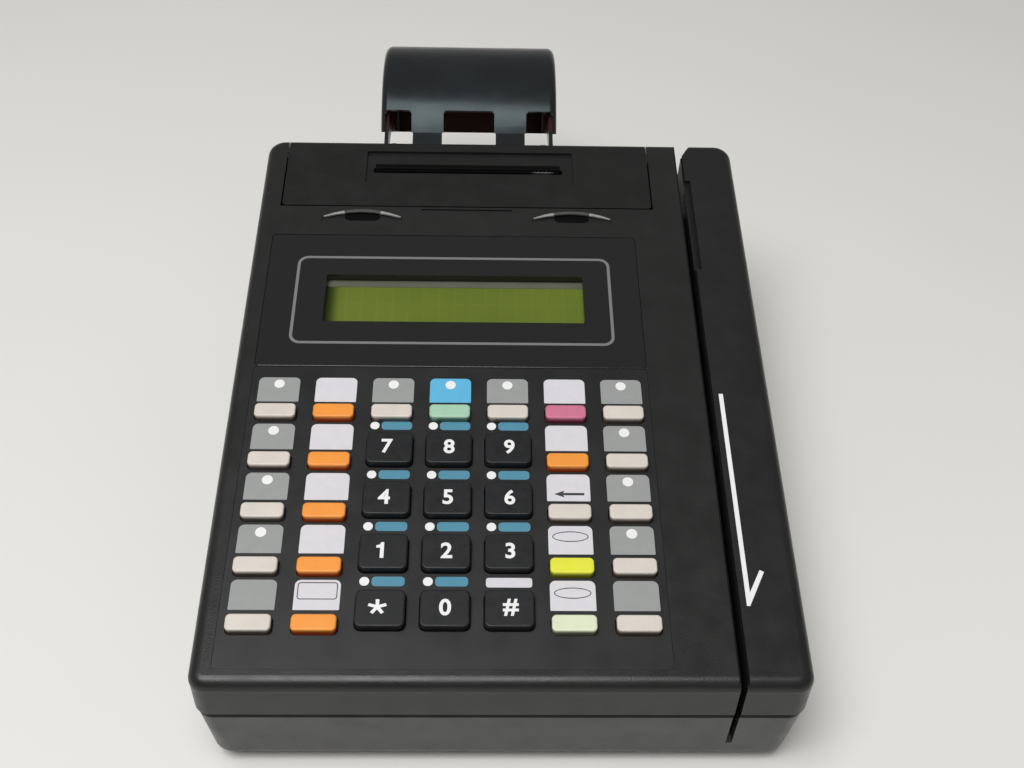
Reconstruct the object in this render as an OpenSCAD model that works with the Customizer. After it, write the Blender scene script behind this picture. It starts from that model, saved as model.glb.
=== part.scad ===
// Counter-top payment terminal with a receipt printer, a display, a 35-key pad
// and a card swipe slot. Millimetres, +Z up. The origin is the centre of the
// overall footprint on the table; the keys face -Y, the roll hood is at +Y.
// Most parts are drawn in the deck frame: X across, Y up the slope from the
// front edge of the deck, Z square to the deck.

/* [Case] */
// Overall width of the case with its card rail
case_w = 190; // [170:1:210]
// Length of the sloping deck, front edge to rear edge
deck_len = 239.8; // [236:0.1:250]
// Slope of the deck in degrees
deck_tilt = 9; // [7:0.5:11]
// Height of the deck's front edge above the table
front_h = 47.5; // [46:0.5:50]
// Height of the seam between the two housings above the table
seam_h = 31; // [29:0.5:33]
// Width of the groove at the seam
seam_gap = 1; // [0.6:0.1:1.6]
// Wall of the housings
wall = 2.5; // [2:0.1:3]
// Thickness of the deck
deck_t = 3; // [2.6:0.1:3.6]
// Rounding of the edge around the deck
edge_r = 4; // [3:0.5:5]
// Plan radius of the two front corners
front_corner_r = 5.5; // [5:0.5:8]
// Plan radius of the two rear corners
rear_corner_r = 7; // [6:0.5:9]
// How far the base stands back from the upper case at the seam
base_setback = 0.6; // [0.3:0.1:1.2]
// How far the base's sides lean in from seam to underside
base_lean = 1.4; // [0.8:0.1:2.2]
// Plan radius of the base's corners at its underside
base_corner_r = 7; // [6:0.5:9]
// Rounding of the base's lower edge
base_edge_r = 5; // [4:0.5:6]

/* [Feet and screws] */
// Height that the feet hold the base off the table
foot_h = 3; // [2:0.1:4]
// Radius of a foot
foot_r = 7; // [5:0.5:9]
// Depth of the pocket that a foot is glued in
foot_pocket = 1; // [0.6:0.1:1.4]
// Radius of a case screw's thread
screw_r = 1.5; // [1.2:0.1:1.8]
// Radius of a case screw's head
screw_head_r = 2.8; // [2.6:0.1:3]
// Radius of a screw boss
boss_r = 4.4; // [4.2:0.1:5]

/* [Card slot] */
// Width of the rail to the right of the slot
rail_w = 21.2; // [18:0.2:24]
// Clear width of the slot
slot_w = 2; // [1.6:0.1:2.4]
// Depth of the slot below the deck
slot_d = 35; // [33:0.5:36]
// Chamfer along both lips of the slot
slot_lip = 0.6; // [0.4:0.1:0.8]
// Width of the lead-in chamfer at the rear end of the rail
lead_w = 5.2; // [4:0.2:7]
// Length of the lead-in chamfer at the rear end of the rail
lead_l = 8.8; // [6:0.2:10]
// Distance of the read head from the deck's front edge
head_at = 98; // [90:1:104]
// Depth of the read head's middle below the deck
head_depth = 17; // [15:0.5:19]
// How far the read head floats back when a card passes
head_float = 0.8; // [0.6:0.1:1]

/* [Keypad] */
// Spacing of the key rows up the slope
key_pitch = 20; // [19.5:0.1:20.5]
// Distance from the overlay's side to the middle of an outer key column
key_inset = 9.8; // [9.2:0.1:11]
// Distance from the deck's front edge to the first row of bar keys
key_front = 20.2; // [19:0.1:22]
// Gap between two bar keys side by side
bar_space = 6; // [5:0.1:7]
// Length of a bar key up the slope
bar_l = 5.6; // [5:0.1:6.4]
// Height of a bar key above the deck
bar_h = 2.8; // [2.4:0.1:3.6]
// Gap between two number keys side by side
number_space = 4.5; // [4:0.1:5.5]
// Length of a number key up the slope
number_l = 12.8; // [11.5:0.1:13.5]
// Height of a number key above the deck
number_h = 2.7; // [2.4:0.1:3.4]
// How much further up the slope a number key sits than a bar key
number_shift = 4.9; // [4.5:0.1:5.2]
// Travel of every key
key_travel = 1.5; // [1:0.1:1.8]
// Gap around a key in its hole
key_gap = 0.35; // [0.3:0.05:0.5]
// Width of the rim that holds a key under the deck
key_rim = 1; // [0.8:0.1:1.2]
// Thickness of that rim
key_rim_t = 1.2; // [1:0.1:1.4]

/* [Deck panels] */
// Margin of deck to the left of the keypad overlay and the display lens
panel_left = 7.2; // [5:0.1:8]
// Margin of deck between these two panels and the card slot
panel_right = 20; // [17:0.1:21]
// Distance from the front edge to the keypad overlay
overlay_front = 6; // [4:0.5:7]
// Length of the keypad overlay
overlay_len = 115; // [114:0.5:115.4]
// Thickness of the keypad overlay
overlay_t = 0.5; // [0.3:0.1:0.8]
// Distance from the front edge to the display lens
lens_front = 121.5; // [121.5:0.1:122]
// Strip of deck between the display lens and the printer cover
scoop_strip = 16; // [15:0.5:18]
// Thickness of the display lens
lens_t = 1.5; // [1.2:0.1:1.8]
// Width of the display window
window_w = 97; // [90:1:100]
// Length of the display window
window_l = 24; // [22:0.5:26]
// How far the display window lies in front of the middle of its lens
window_ahead = 0.3; // [0:0.1:1.5]

/* [Printer] */
// Margin of deck to the left of the printer cover
cover_left = 9; // [7.5:0.1:11]
// Margin of deck between the printer cover and the card slot
cover_right = 12.2; // [11:0.1:15]
// Length of the printer cover
cover_len = 38.3; // [37.5:0.1:39]
// Thickness of the printer cover
cover_t = 2.6; // [2.4:0.1:3]
// Gap around the printer cover
cover_gap = 0.6; // [0.4:0.1:0.8]
// Distance from the rear edge of the deck to the cover's hinge
cover_hinge_back = 8; // [7.5:0.1:9]
// Depth of the cover's hinge below the deck
cover_hinge_depth = 5.6; // [5.5:0.1:5.8]
// Radius of the cover's hinge pins
cover_pin_r = 1.5; // [1.2:0.1:1.6]
// Width of the paper slot
paper_slot_w = 76.4; // [70:0.2:78]
// Length of the paper slot up the slope
paper_slot_l = 2.8; // [2:0.1:3.4]
// Distance from the rear edge to the middle of the paper slot
paper_slot_back = 17.1; // [16.5:0.1:17.8]
// Depth of the recess around the paper slot
slot_recess = 1.2; // [0.8:0.1:1.4]
// Distance from the rear edge to the platen's axis
platen_back = 18.9; // [18.6:0.1:19.4]
// Depth of the platen's axis below the deck
platen_depth = 19; // [18:0.5:20]
// Radius of the platen's rubber
platen_r = 6; // [5.5:0.1:6.4]
// Radius of the platen's shaft
shaft_r = 2; // [1.8:0.1:2.2]
// Length of the platen's rubber
platen_len = 74; // [68:1:76]
// Tooth module of the two gears
gear_module = 0.8; // [0.8:0.01:0.82]
// Travel of the print head to each side
head_travel = 28; // [20:1:29]

/* [Roll hood] */
// Outer radius of the hood's drum
hood_r = 43; // [42:0.5:46]
// Width of the hood
hood_w = 74; // [72:0.2:76]
// Wall of the hood
hood_wall = 1.8; // [1.6:0.1:2]
// Rounding of the drum's two outer edges
hood_edge_r = 3; // [2.5:0.1:4]
// Distance from the rear of the case back to the drum's axis
hood_back = 43; // [42.5:0.5:45]
// Height of the drum's axis above the table
hood_axis_h = 54; // [53:0.5:55.5]
// Angle of the hood's front rim around the drum's axis
rim_front = 140; // [139:0.5:141]
// Angle of the hood's rear rim around the drum's axis
rim_rear = -25; // [-27:0.5:-20]
// Height of the three windows along the drum
window_arc = 9.6; // [8:0.2:10.4]
// Distance between the middles of the two straps
strap_pitch = 34.8; // [33:0.2:36]
// Width of a strap
strap_w = 13.4; // [12:0.2:14]
// Distance from the rear of the case to the hood's hinge
hood_hinge_back = 4.8; // [4.5:0.1:5.2]
// Height of the hood's hinge above the table
hood_hinge_h = 76.8; // [76.4:0.1:77.2]
// Radius of the hood's hinge rod
hinge_rod_r = 1.2; // [1:0.1:1.3]
// Clear width between the two arms of the roll bracket
roll_w = 60.5; // [58:0.5:61]
// Height of the roll spindle's axis above the table
spindle_h = 46.5; // [45:0.5:47.5]
// Radius of the roll spindle
spindle_r = 4; // [3:0.5:4.5]

/* [Hidden] */
$fn = 48;
NUMBER_NAMES = [
    ["star", "0", "hash"],
    ["1", "2", "3"],
    ["4", "5", "6"],
    ["7", "8", "9"]
];
COLUMNS = 7;
ROWS = 5;
FIRST_NUMBER_COLUMN = 2;
NUMBER_COLUMNS = 3;
NUMBER_ROWS = 4;
function is_number(column, row) =
    row < NUMBER_ROWS && column >= FIRST_NUMBER_COLUMN
    && column < FIRST_NUMBER_COLUMN + NUMBER_COLUMNS;
function key_name(column, row) = is_number(column, row)
    ? str("number_key_", NUMBER_NAMES[row][column - FIRST_NUMBER_COLUMN])
    : str("function_key_row", ROWS - row, "_col", column + 1);
KEY_NODES = [
    for (row = [ROWS - 1 : -1 : 0]) for (column = [0 : COLUMNS - 1])
        key_name(column, row)
];

// Small clearances that several fits share
skin = 0.08;
seat = 0.1;
run = 0.05;
move_gap = 0.3;
BIG = 600;

// Places of the case
sn = sin(deck_tilt);
cs = cos(deck_tilt);
rear_face = deck_len * cs + edge_r * sn;
front_face = edge_r * sn;
depth = rear_face - front_face + hood_back + hood_r;
front_y = -depth / 2 - front_face;
case_y0 = front_y + front_face;
case_y1 = front_y + rear_face;
left_x = -case_w / 2;
right_x = case_w / 2;
slot_right = right_x - rail_w;
slot_left = slot_right - slot_w;
slot_wall = wall - 0.2;
seam_top = seam_h + seam_gap / 2;
seam_bottom = seam_h - seam_gap / 2;
base_floor = foot_h + wall;

// Height of the plane n below the deck at the world place y
function plane_z(y, n) = front_h + (y - front_y) * tan(deck_tilt) + n / cs;
// Place up the slope of a point at the world place y and depth n
function slope_of(y, n) = (y - front_y + n * sn) / cs;

// Places of the keypad
panel_x0 = left_x + panel_left;
panel_x1 = slot_left - panel_right;
panel_mid = (panel_x0 + panel_x1) / 2;
column_x0 = panel_x0 + key_inset;
column_pitch = (panel_x1 - panel_x0 - 2 * key_inset) / (COLUMNS - 1);
bar_w = column_pitch - bar_space;
number_w = column_pitch - number_space;
function key_x(column) = column_x0 + column_pitch * column;
function key_s(column, row) = key_front + key_pitch * row
    + (is_number(column, row) ? number_shift : 0);
function key_w(column, row) = is_number(column, row) ? number_w : bar_w;
function key_l(column, row) = is_number(column, row) ? number_l : bar_l;
function key_h(column, row) = is_number(column, row) ? number_h : bar_h;
bar_corner_r = 1.5;
number_corner_r = 2;
key_edge_r = 0.6;
rim_top = -deck_t - move_gap;
rim_bottom = rim_top - key_rim_t;
dome_top = rim_bottom - key_travel - move_gap;
dome_h = 0.9;
mat_t = 1.2;
mat_top = dome_top - dome_h;
board_t = 1.6;
pad_top = mat_top - mat_t;
panel_r = 1.5;
pad_x0 = panel_x0 + 3;
pad_x1 = panel_x1 - 2;
pad_s0 = overlay_front + 7;
pad_s1 = overlay_front + overlay_len - 3;

// Places of the display
lens_len = deck_len - cover_len - scoop_strip - lens_front;
window_mid = lens_front + lens_len / 2 - window_ahead;
window_x = panel_mid + 1.2;
display_s0 = window_mid - 21;
display_s1 = window_mid + 21;
glass_top = -deck_t - move_gap;

// Places of the screws and feet
screw_x = [left_x + 9, slot_left - 12, right_x - rail_w / 2];
screw_y = [
    case_y0 + 8.5, front_y + (lens_front + 1.5) * cs,
    front_y + (deck_len - cover_len - cover_gap - 10.9) * cs
];
boss_gap = 0.3;
boss_split = seam_h + 4;
counterbore = 5;
foot_x = [left_x + 18, right_x - 22];
foot_y = [case_y0 + 20, case_y1 - 22];

// Places of the printer
cover_x0 = left_x + cover_left;
cover_x1 = slot_left - cover_right;
printer_x = (cover_x0 + cover_x1) / 2;
cover_s0 = deck_len - cover_len;
bay_x0 = cover_x0 - cover_gap;
bay_x1 = cover_x1 + cover_gap;
bay_s0 = cover_s0 - cover_gap;
cover_skirt = 7;
hinge_s = deck_len - cover_hinge_back;
hinge_n = -cover_hinge_depth;
hinge_y = front_y + hinge_s * cs - hinge_n * sn;
hinge_z = front_h + hinge_s * sn + hinge_n * cs;
// The cover's rear skirt turns about its hinge above the rear wall
skirt_reach = norm([cover_hinge_back, cover_skirt - cover_hinge_depth]);
rear_wall_top = hinge_z - skirt_reach + 1.3;
tub_t = 2;
tub_floor = platen_depth + 13;
tub_x0 = bay_x0 - tub_t - 2 * seat;
tub_x1 = bay_x1 + tub_t + 2 * seat;
tub_s0 = bay_s0 - tub_t - 2 * seat;
platen_s = deck_len - platen_back;
platen_n = -platen_depth;
plate_t = 1.5;
plate_x = platen_len / 2 + 2.5;
rod_s = platen_s - platen_r - 7;
rod_n = platen_n + 1;
rod_r = 1.5;
ribbon_n = rod_n + 6;
gear_t = 3.5;
platen_teeth = 20;
pinion_teeth = 10;
gear_x = plate_x + plate_t + 2;
gear_mesh = gear_module * (platen_teeth + pinion_teeth) / 2;
mesh_angle = 195;
pinion_s = platen_s + gear_mesh * cos(mesh_angle);
pinion_n = platen_n + gear_mesh * sin(mesh_angle);
motor_r = 7;
motor_x0 = gear_x + gear_t + 1.6;
motor_l = cover_x1 - printer_x - motor_x0 - 5.7;
motor_bore = motor_l - 4;

// Places of the hood
hood_y = case_y1 + hood_back;
hood_z = hood_axis_h;
rod_y = case_y1 + hood_hinge_back;
rod_z = hood_hinge_h;
arm_t = 2;
arm_x = roll_w / 2;
ear_t = 1.4;
ear_x = hood_w / 2 - hood_wall - ear_t;
knuckle_r = hinge_rod_r + 1.2;
spindle_slot = spindle_r - 1;
eye_r = spindle_slot + 3.5;
window_r = 1.4;
heel_z = rod_z - 11.5;

// Plain helpers

// Bite that rounds a corner at the origin of the positive quadrant
module corner_bite(r) {
    difference() {
        translate([-1, -1]) square(r + 1);
        translate([r, r]) circle(r);
    }
}

// Rectangle with a radius for each corner: front left, front right,
// rear right, rear left
module plan(x0, y0, x1, y1, r) {
    difference() {
        translate([x0, y0]) square([x1 - x0, y1 - y0]);
        if (r[0] > 0) translate([x0, y0]) corner_bite(r[0]);
        if (r[1] > 0) translate([x1, y0]) mirror([1, 0]) corner_bite(r[1]);
        if (r[2] > 0) translate([x1, y1]) rotate(180) corner_bite(r[2]);
        if (r[3] > 0) translate([x0, y1]) mirror([0, 1]) corner_bite(r[3]);
    }
}

module rounded(w, l, r) {
    plan(-w / 2, -l / 2, w / 2, l / 2, [r, r, r, r]);
}

// Quarter disc whose top outer edge is rounded, for the corner of a slab
module corner_pie(r, e) {
    rotate_extrude(angle = 90) intersection() {
        square([r, e]);
        union() {
            square([r - e, e]);
            translate([r - e, 0]) circle(e);
        }
    }
}

// Block with rounded corners, its top edge rounded by e, its top at z = 0
module soft_block(x0, y0, x1, y1, r, h, e) {
    translate([0, 0, -h]) linear_extrude(h - e) plan(x0, y0, x1, y1, r);
    translate([0, 0, -e - 0.01]) linear_extrude(e + 0.01)
        plan(x0 + e, y0 + e, x1 - e, y1 - e, [for (a = r) a - e]);
    translate([0, 0, -e]) {
        translate([x0 + r[0], y0 + r[0]]) rotate(180) corner_pie(r[0], e);
        translate([x1 - r[1], y0 + r[1]]) rotate(270) corner_pie(r[1], e);
        translate([x1 - r[2], y1 - r[2]]) corner_pie(r[2], e);
        translate([x0 + r[3], y1 - r[3]]) rotate(90) corner_pie(r[3], e);
        bead([x0 + r[0], y0 + e], [x1 - r[1], y0 + e], e);
        bead([x0 + r[3], y1 - e], [x1 - r[2], y1 - e], e);
        bead([x0 + e, y0 + r[0]], [x0 + e, y1 - r[3]], e);
        bead([x1 - e, y0 + r[1]], [x1 - e, y1 - r[2]], e);
    }
}

// Half round between two points at one height
module bead(a, b, e) {
    along = b - a;
    translate([a[0], a[1], 0]) rotate(atan2(along[1], along[0]))
        rotate([90, 0, 90]) linear_extrude(norm(along)) intersection() {
            circle(e);
            translate([-e, 0]) square([2 * e, e]);
        }
}

// Upright tube or pin between two heights
module post(x, y, z0, z1, r) {
    translate([x, y, z0]) cylinder(h = z1 - z0, r = r);
}

// Cylinder along X
module axle(x0, x1, r) {
    translate([x0, 0, 0]) rotate([0, 90, 0]) cylinder(h = x1 - x0, r = r);
}

module box(x0, y0, z0, x1, y1, z1) {
    translate([x0, y0, z0]) cube([x1 - x0, y1 - y0, z1 - z0]);
}

module at_deck() {
    translate([0, front_y, front_h]) rotate([deck_tilt, 0, 0]) children();
}

// Everything below the plane n of the deck frame
module below(n) {
    at_deck() box(-BIG / 2, -BIG / 2, n - BIG, BIG / 2, BIG / 2, n);
}

// Outline of the case seen from above, drawn in by d
module case_plan(d) {
    f = max(front_corner_r - d, 0.5);
    b = max(rear_corner_r - d, 0.5);
    plan(left_x + d, case_y0 + d, right_x - d, case_y1 - d, [f, f, b, b]);
}

// Upright prism on that outline, from z0 up to the plane n
module case_prism(d, z0, n) {
    intersection() {
        translate([0, 0, z0]) linear_extrude(BIG / 3) case_plan(d);
        below(n);
    }
}

// Outside of the upper case: a rounded deck slab on an upright prism
module upper_outside() {
    slab_t = edge_r + 0.02;
    at_deck() soft_block(
        left_x, 0, right_x, deck_len,
        [front_corner_r, front_corner_r, rear_corner_r, rear_corner_r],
        slab_t, edge_r
    );
    case_prism(skin, seam_top, 0.2 - edge_r);
}

// Chamfer cutter along a slot lip at x, opening towards side
module lip_cut(x, side) {
    at_deck() translate([x, 0, 0]) rotate([90, 0, 0])
        translate([0, 0, -BIG]) linear_extrude(2 * BIG)
            polygon([
                [-side * slot_lip, -2 * slot_lip], [side * slot_lip, 0.02],
                [-side * slot_lip, 0.02]
            ]);
}

// Case

module screw_places() {
    for (x = screw_x) for (y = screw_y) translate([x, y, 0]) children();
}

module foot_places() {
    for (x = foot_x) for (y = foot_y) translate([x, y, 0]) children();
}

// Outline of the base at its underside, drawn in by d
module under_plan(d) {
    r = max(base_corner_r - d, 0.5);
    i = base_setback + base_lean + d;
    plan(left_x + i, case_y0 + i, right_x - i, case_y1 - i, [r, r, r, r]);
}

// Body of the base drawn in by d: its sides lean in from the seam, its lower
// edge is round and its corners widen towards the underside
module base_body(d) {
    e = max(base_edge_r - d, 0.5);
    hull() {
        translate([0, 0, seam_bottom - 0.02]) linear_extrude(0.02)
            case_plan(base_setback + d);
        for (a = [0 : 15 : 90])
            translate([0, 0, foot_h + d + e * (1 - sin(a))])
                linear_extrude(0.02) under_plan(d + e * (1 - cos(a)));
    }
}

// The same with the space above the seam
module base_room(d) {
    base_body(d);
    translate([0, 0, seam_bottom - 0.02]) linear_extrude(BIG / 3)
        case_plan(base_setback + d);
}

// Lip on the base that locates the upper case across the seam
module seam_lip() {
    lip_out = wall + skin + seat;
    lip_in = lip_out + 1.4;
    difference() {
        translate([0, 0, seam_bottom - 5]) linear_extrude(seam_gap + 6.5)
            difference() {
                case_plan(lip_out);
                case_plan(lip_in);
            }
        box(slot_left - slot_wall - 2 * seat, -BIG, seam_bottom,
            slot_right + slot_wall + 2 * seat, BIG, BIG);
        lead_in(slot_wall + 2 * seat);
        box(-BIG, case_y1 - 12, seam_bottom - 8, slot_left - 6, case_y1, BIG);
    }
}

// The space of the card slot over the whole length, wider by grow
module slot_space(grow) {
    at_deck() box(
        slot_left - grow, -30, -slot_d, slot_right + grow, deck_len + 30, BIG / 4
    );
}

// Half space behind the lead-in at the rail's rear end, grown by d
module lead_in(d) {
    at_deck() translate([slot_right, deck_len - lead_l, -BIG / 2])
        linear_extrude(BIG) rotate(atan2(lead_l, lead_w))
            translate([-50, -d]) square([100, 60]);
}

// Fin that is the floor of the card slot, from the base up to the slot
module slot_fin() {
    intersection() {
        box(slot_left + seat, case_y0 + base_setback + base_lean + 1,
            base_floor - 0.5, slot_right - seat,
            case_y1 - base_setback - base_lean - 1, BIG / 3);
        below(-slot_d);
    }
}

socket_z0 = base_floor + 3.4 + board_t;
socket_w = [13, 13, 16, 13];
socket_x = [left_x + 21, left_x + 43, left_x + 67, slot_left - 37.8];
socket_h = [10.6, 10.6, 8.4, 11];

// Bosses, posts and ribs inside the base
module base_insides() {
    screw_places() cylinder_from(foot_h, boss_split - boss_gap, boss_r);
    foot_places()
        cylinder_from(foot_h + 0.2, base_floor + foot_pocket, foot_r + wall);
    for (x = [screw_x[0] + 12, screw_x[1] - 12])
        for (y = [case_y0 + 24, case_y1 - 24])
            post(x, y, base_floor - 0.5, base_floor + 3.4, 3);
    for (y = [case_y0 + 70, case_y0 + 150])
        box(left_x + wall, y, base_floor - 0.5, slot_left - 3, y + 1.6,
            base_floor + 2.6);
}

module base_housing() {
    color("#2f3032") difference() {
        union() {
            difference() {
                base_body(0);
                base_room(wall);
            }
            seam_lip();
            slot_fin();
            intersection() {
                base_room(0);
                base_insides();
            }
        }
        slot_space(0);
        screw_places() {
            cylinder_from(-1, foot_h + counterbore, screw_head_r + 0.4);
            cylinder_from(0, BIG / 4, screw_r + seat);
        }
        foot_places() cylinder_from(-1, foot_h + foot_pocket, foot_r + seat);
        for (i = [0 : len(socket_x) - 1])
            box(socket_x[i] - socket_w[i] / 2 - 0.3, case_y1 - 20,
                socket_z0 - 0.3, socket_x[i] + socket_w[i] / 2 + 0.3,
                case_y1 + 5, socket_z0 + socket_h[i] + 0.3);
        for (i = [0 : 7])
            translate([panel_x0 + 35.8 + i * 12, case_y0 + 40, -1])
                linear_extrude(base_floor + 2) rounded(3, 22, 1.5);
    }
}

module cylinder_from(z0, z1, r) {
    translate([0, 0, z0]) cylinder(h = z1 - z0, r = r);
}

// Finger scoop in the deck in front of the cover, with its dark pocket
scoop_r = 32;
scoop_w = 31;
scoop_depth = 1.5;
scoop_s = cover_s0 - 2.2;
pocket_w = 13.5;
pocket_l = 4.6;
pocket_depth = 2.3;
scoop_pitch = 82;
groove_w = 35.6;
groove_l = 0.9;
groove_depth = 0.7;

module scoop() {
    // Floor that falls from the deck in front to the arched wall behind
    at_deck() intersection() {
        translate([0, scoop_s - scoop_r, -BIG / 2]) cylinder(h = BIG, r = scoop_r);
        translate([0, scoop_s - 9, 0]) rotate([-atan(scoop_depth / 9), 0, 0])
            box(-scoop_w / 2, 0, 0, scoop_w / 2, 12, 10);
    }
    at_deck() translate([0, scoop_s - 1 - pocket_l / 2, -pocket_depth])
        linear_extrude(deck_t + 2) rounded(pocket_w, pocket_l, 2);
}

module scoops() {
    for (side = [-1, 1])
        translate([printer_x + side * scoop_pitch / 2, 0, 0]) scoop();
    // Short groove between them, where the cover's catch is pressed free
    at_deck() translate([printer_x, scoop_s + 0.1, -groove_depth])
        linear_extrude(groove_depth + 1) rounded(groove_w, groove_l, 0.4);
}

// Holes for all the keys, larger than the keys by grow
module key_holes(grow, n0, n1) {
    at_deck() for (row = [0 : ROWS - 1]) for (column = [0 : COLUMNS - 1])
        translate([key_x(column), key_s(column, row), n0])
            linear_extrude(n1 - n0) rounded(
                key_w(column, row) + 2 * grow, key_l(column, row) + 2 * grow,
                (is_number(column, row) ? number_corner_r : bar_corner_r) + grow
            );
}

module panel_recess(s0, length, t) {
    at_deck() translate([0, 0, -t - seat]) linear_extrude(t + seat + 5)
        plan(panel_x0 - seat, s0 - seat, panel_x1 + seat, s0 + length + seat,
             [panel_r, panel_r, panel_r, panel_r]);
}

module window_hole(grow, n0, n1) {
    at_deck() translate([window_x, window_mid, n0]) linear_extrude(n1 - n0)
        rounded(window_w + 2 * grow, window_l + 2 * grow, 1);
}

// Opening for the printer cover, up to the rear edge
module bay_opening() {
    at_deck() translate([0, 0, -BIG / 4]) linear_extrude(BIG / 2)
        plan(bay_x0, bay_s0, bay_x1, deck_len + 30, [0.5, 0.5, 0, 0]);
}

// Bosses under the deck that the case screws bite in
module upper_bosses() {
    intersection() {
        screw_places() cylinder_from(boss_split, BIG / 4, boss_r - 0.6);
        below(-deck_t + 0.5);
    }
}

// Posts that the keypad board is screwed to, between the key rows
pad_post_x = [
    key_x(1) - key_pitch / 2, key_x(3) + key_pitch / 2, key_x(5) + key_pitch / 2
];
pad_post_s = [for (row = [0, 3]) key_front + row * key_pitch + 14.9];
pad_post_r = 1;

module pad_posts(grow, n0, n1) {
    at_deck() for (x = pad_post_x) for (s = pad_post_s)
        translate([x, s, n0]) cylinder(h = n1 - n0, r = pad_post_r + grow);
}

module top_housing() {
    inner = wall + skin;
    color("#313234") difference() {
        union() {
            difference() {
                intersection() {
                    upper_outside();
                    box(-BIG, -BIG, 0, slot_left, BIG, BIG);
                }
                intersection() {
                    case_prism(inner, 0, -deck_t);
                    box(-BIG, -BIG, 0, slot_left - slot_wall, BIG, BIG);
                }
            }
            intersection() {
                upper_bosses();
                box(-BIG, -BIG, 0, slot_left, BIG, BIG);
            }
            pad_posts(0, pad_top, -deck_t + 0.5);
            read_head_guides();
        }
        lip_cut(slot_left, 1);
        panel_recess(overlay_front, overlay_len, overlay_t);
        panel_recess(lens_front, lens_len, lens_t);
        key_holes(key_gap, -deck_t - 2, 5);
        window_hole(0, -deck_t - 2, 5);
        scoops();
        difference() {
            bay_opening();
            box(-BIG, case_y1 - wall - 1, -BIG, BIG, BIG, rear_wall_top);
            box(-BIG, -BIG, -BIG, BIG, case_y1 - wall - 1, BIG);
        }
        intersection() {
            bay_opening();
            box(-BIG, -BIG, -BIG, BIG, case_y1 - wall - 1, BIG);
            at_deck() box(-BIG, 0, -deck_t - edge_r, BIG, BIG, BIG);
        }
        screw_places() cylinder_from(0, boss_split + 9, screw_r + seat);
        read_head_window();
        bracket_screw_holes(screw_r - 0.3);
    }
}

module card_rail() {
    inner = wall + skin;
    color("#2c2d2f") difference() {
        intersection() {
            upper_outside();
            box(slot_right, -BIG, 0, BIG, BIG, BIG);
        }
        difference() {
            intersection() {
                case_prism(inner, 0, -deck_t);
                box(slot_right + slot_wall, -BIG, 0, BIG, BIG, BIG);
            }
            // Cross ribs, bosses and the wall behind the lead-in stay
            for (i = [1 : 3])
                box(-BIG, case_y0 + i * (case_y1 - case_y0) / 4 - 0.8,
                    boss_split, BIG,
                    case_y0 + i * (case_y1 - case_y0) / 4 + 0.8, BIG);
            upper_bosses();
            lead_in(slot_wall);
        }
        lip_cut(slot_right, -1);
        lead_in(0);
        screw_places() cylinder_from(0, boss_split + 9, screw_r + seat);
        // Shallow flat that falls towards the slot behind the middle
        at_deck() translate([slot_right, cover_s0 - 32, 0]) rotate([0, 20, 0])
            box(-4, 0, -0.9, 2.6, 48, 3);
    }
}

module keypad_overlay() {
    color("#3a3b3c") difference() {
        at_deck() translate([0, 0, -overlay_t - seat]) linear_extrude(overlay_t)
            plan(panel_x0, overlay_front, panel_x1, overlay_front + overlay_len,
                 [panel_r, panel_r, panel_r, panel_r]);
        key_holes(key_gap, -5, 5);
    }
}

module display_lens() {
    color("#1b1c1e") at_deck() translate([0, 0, -lens_t - seat])
        linear_extrude(lens_t)
            plan(panel_x0, lens_front, panel_x1, lens_front + lens_len,
                 [panel_r, panel_r, panel_r, panel_r]);
}

// Display glass in its bezel on a board
module display_module() {
    x0 = window_x - window_w / 2 - 3;
    x1 = window_x + window_w / 2 + 3;
    s0 = window_mid - window_l / 2 - 4;
    s1 = window_mid + window_l / 2 + 4;
    color("#6a7f2d") at_deck() {
        difference() {
            box(x0, s0, glass_top - 6, x1, s1, glass_top);
            box(x0 + 2.6, s0 + 3.6, glass_top - 1, x1 - 2.6, s1 - 3.6, 1);
        }
        difference() {
            box(x0 - 10, display_s0, glass_top - 7.6, x1 + 10, display_s1,
                glass_top - 6);
            for (x = [x0 - 7, x1 + 7]) for (s = [display_s0 + 3, display_s1 - 3])
                translate([x, s, glass_top - 9]) cylinder(h = 4, r = 1.6);
        }
    }
}

module keypad_mat() {
    color("#8f9294") difference() {
        at_deck() {
            translate([0, 0, mat_top - mat_t]) linear_extrude(mat_t)
                plan(pad_x0, pad_s0, pad_x1, pad_s1, [2, 2, 2, 2]);
            for (row = [0 : ROWS - 1]) for (column = [0 : COLUMNS - 1])
                translate([key_x(column), key_s(column, row), mat_top - 0.1])
                    cylinder(h = dome_h + 0.1, r1 = 2.9, r2 = 2);
        }
        pad_posts(0.3, -40, 0);
    }
}

module keypad_board() {
    color("#2e5a3a") difference() {
        at_deck() translate([0, 0, pad_top - board_t]) linear_extrude(board_t)
            plan(pad_x0, pad_s0, pad_x1, pad_s1, [1, 1, 1, 1]);
    }
}

board_z = socket_z0 - board_t;
board_x0 = left_x + 13;
board_x1 = slot_left - 20;

module main_board() {
    y0 = case_y0 + 17;
    y1 = case_y1 - wall - base_setback - base_lean - 1;
    mid = (board_x0 + board_x1) / 2;
    top = board_z + board_t;
    color("#2e5a3a") {
        difference() {
            box(board_x0, y0, board_z, board_x1, y1, board_z + board_t);
            screw_places() cylinder_from(0, 40, boss_r + 0.5);
        }
        // Processor, memory, modem transformer, buzzer and backup cell
        box(mid - 15, y0 + 40, top, mid + 7, y0 + 62, top + 2);
        for (i = [0 : 2])
            box(mid + 19, y0 + 38 + i * 14, top, mid + 37,
                y0 + 46 + i * 14, top + 1.6);
        box(mid - 47, y1 - 60, top, mid - 27, y1 - 42, top + 6);
        post(board_x0 + 22, y0 + 60, top, top + 5, 6);
        post(board_x1 - 16, y0 + 110, top, top + 3.2, 10);
    }
}

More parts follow.
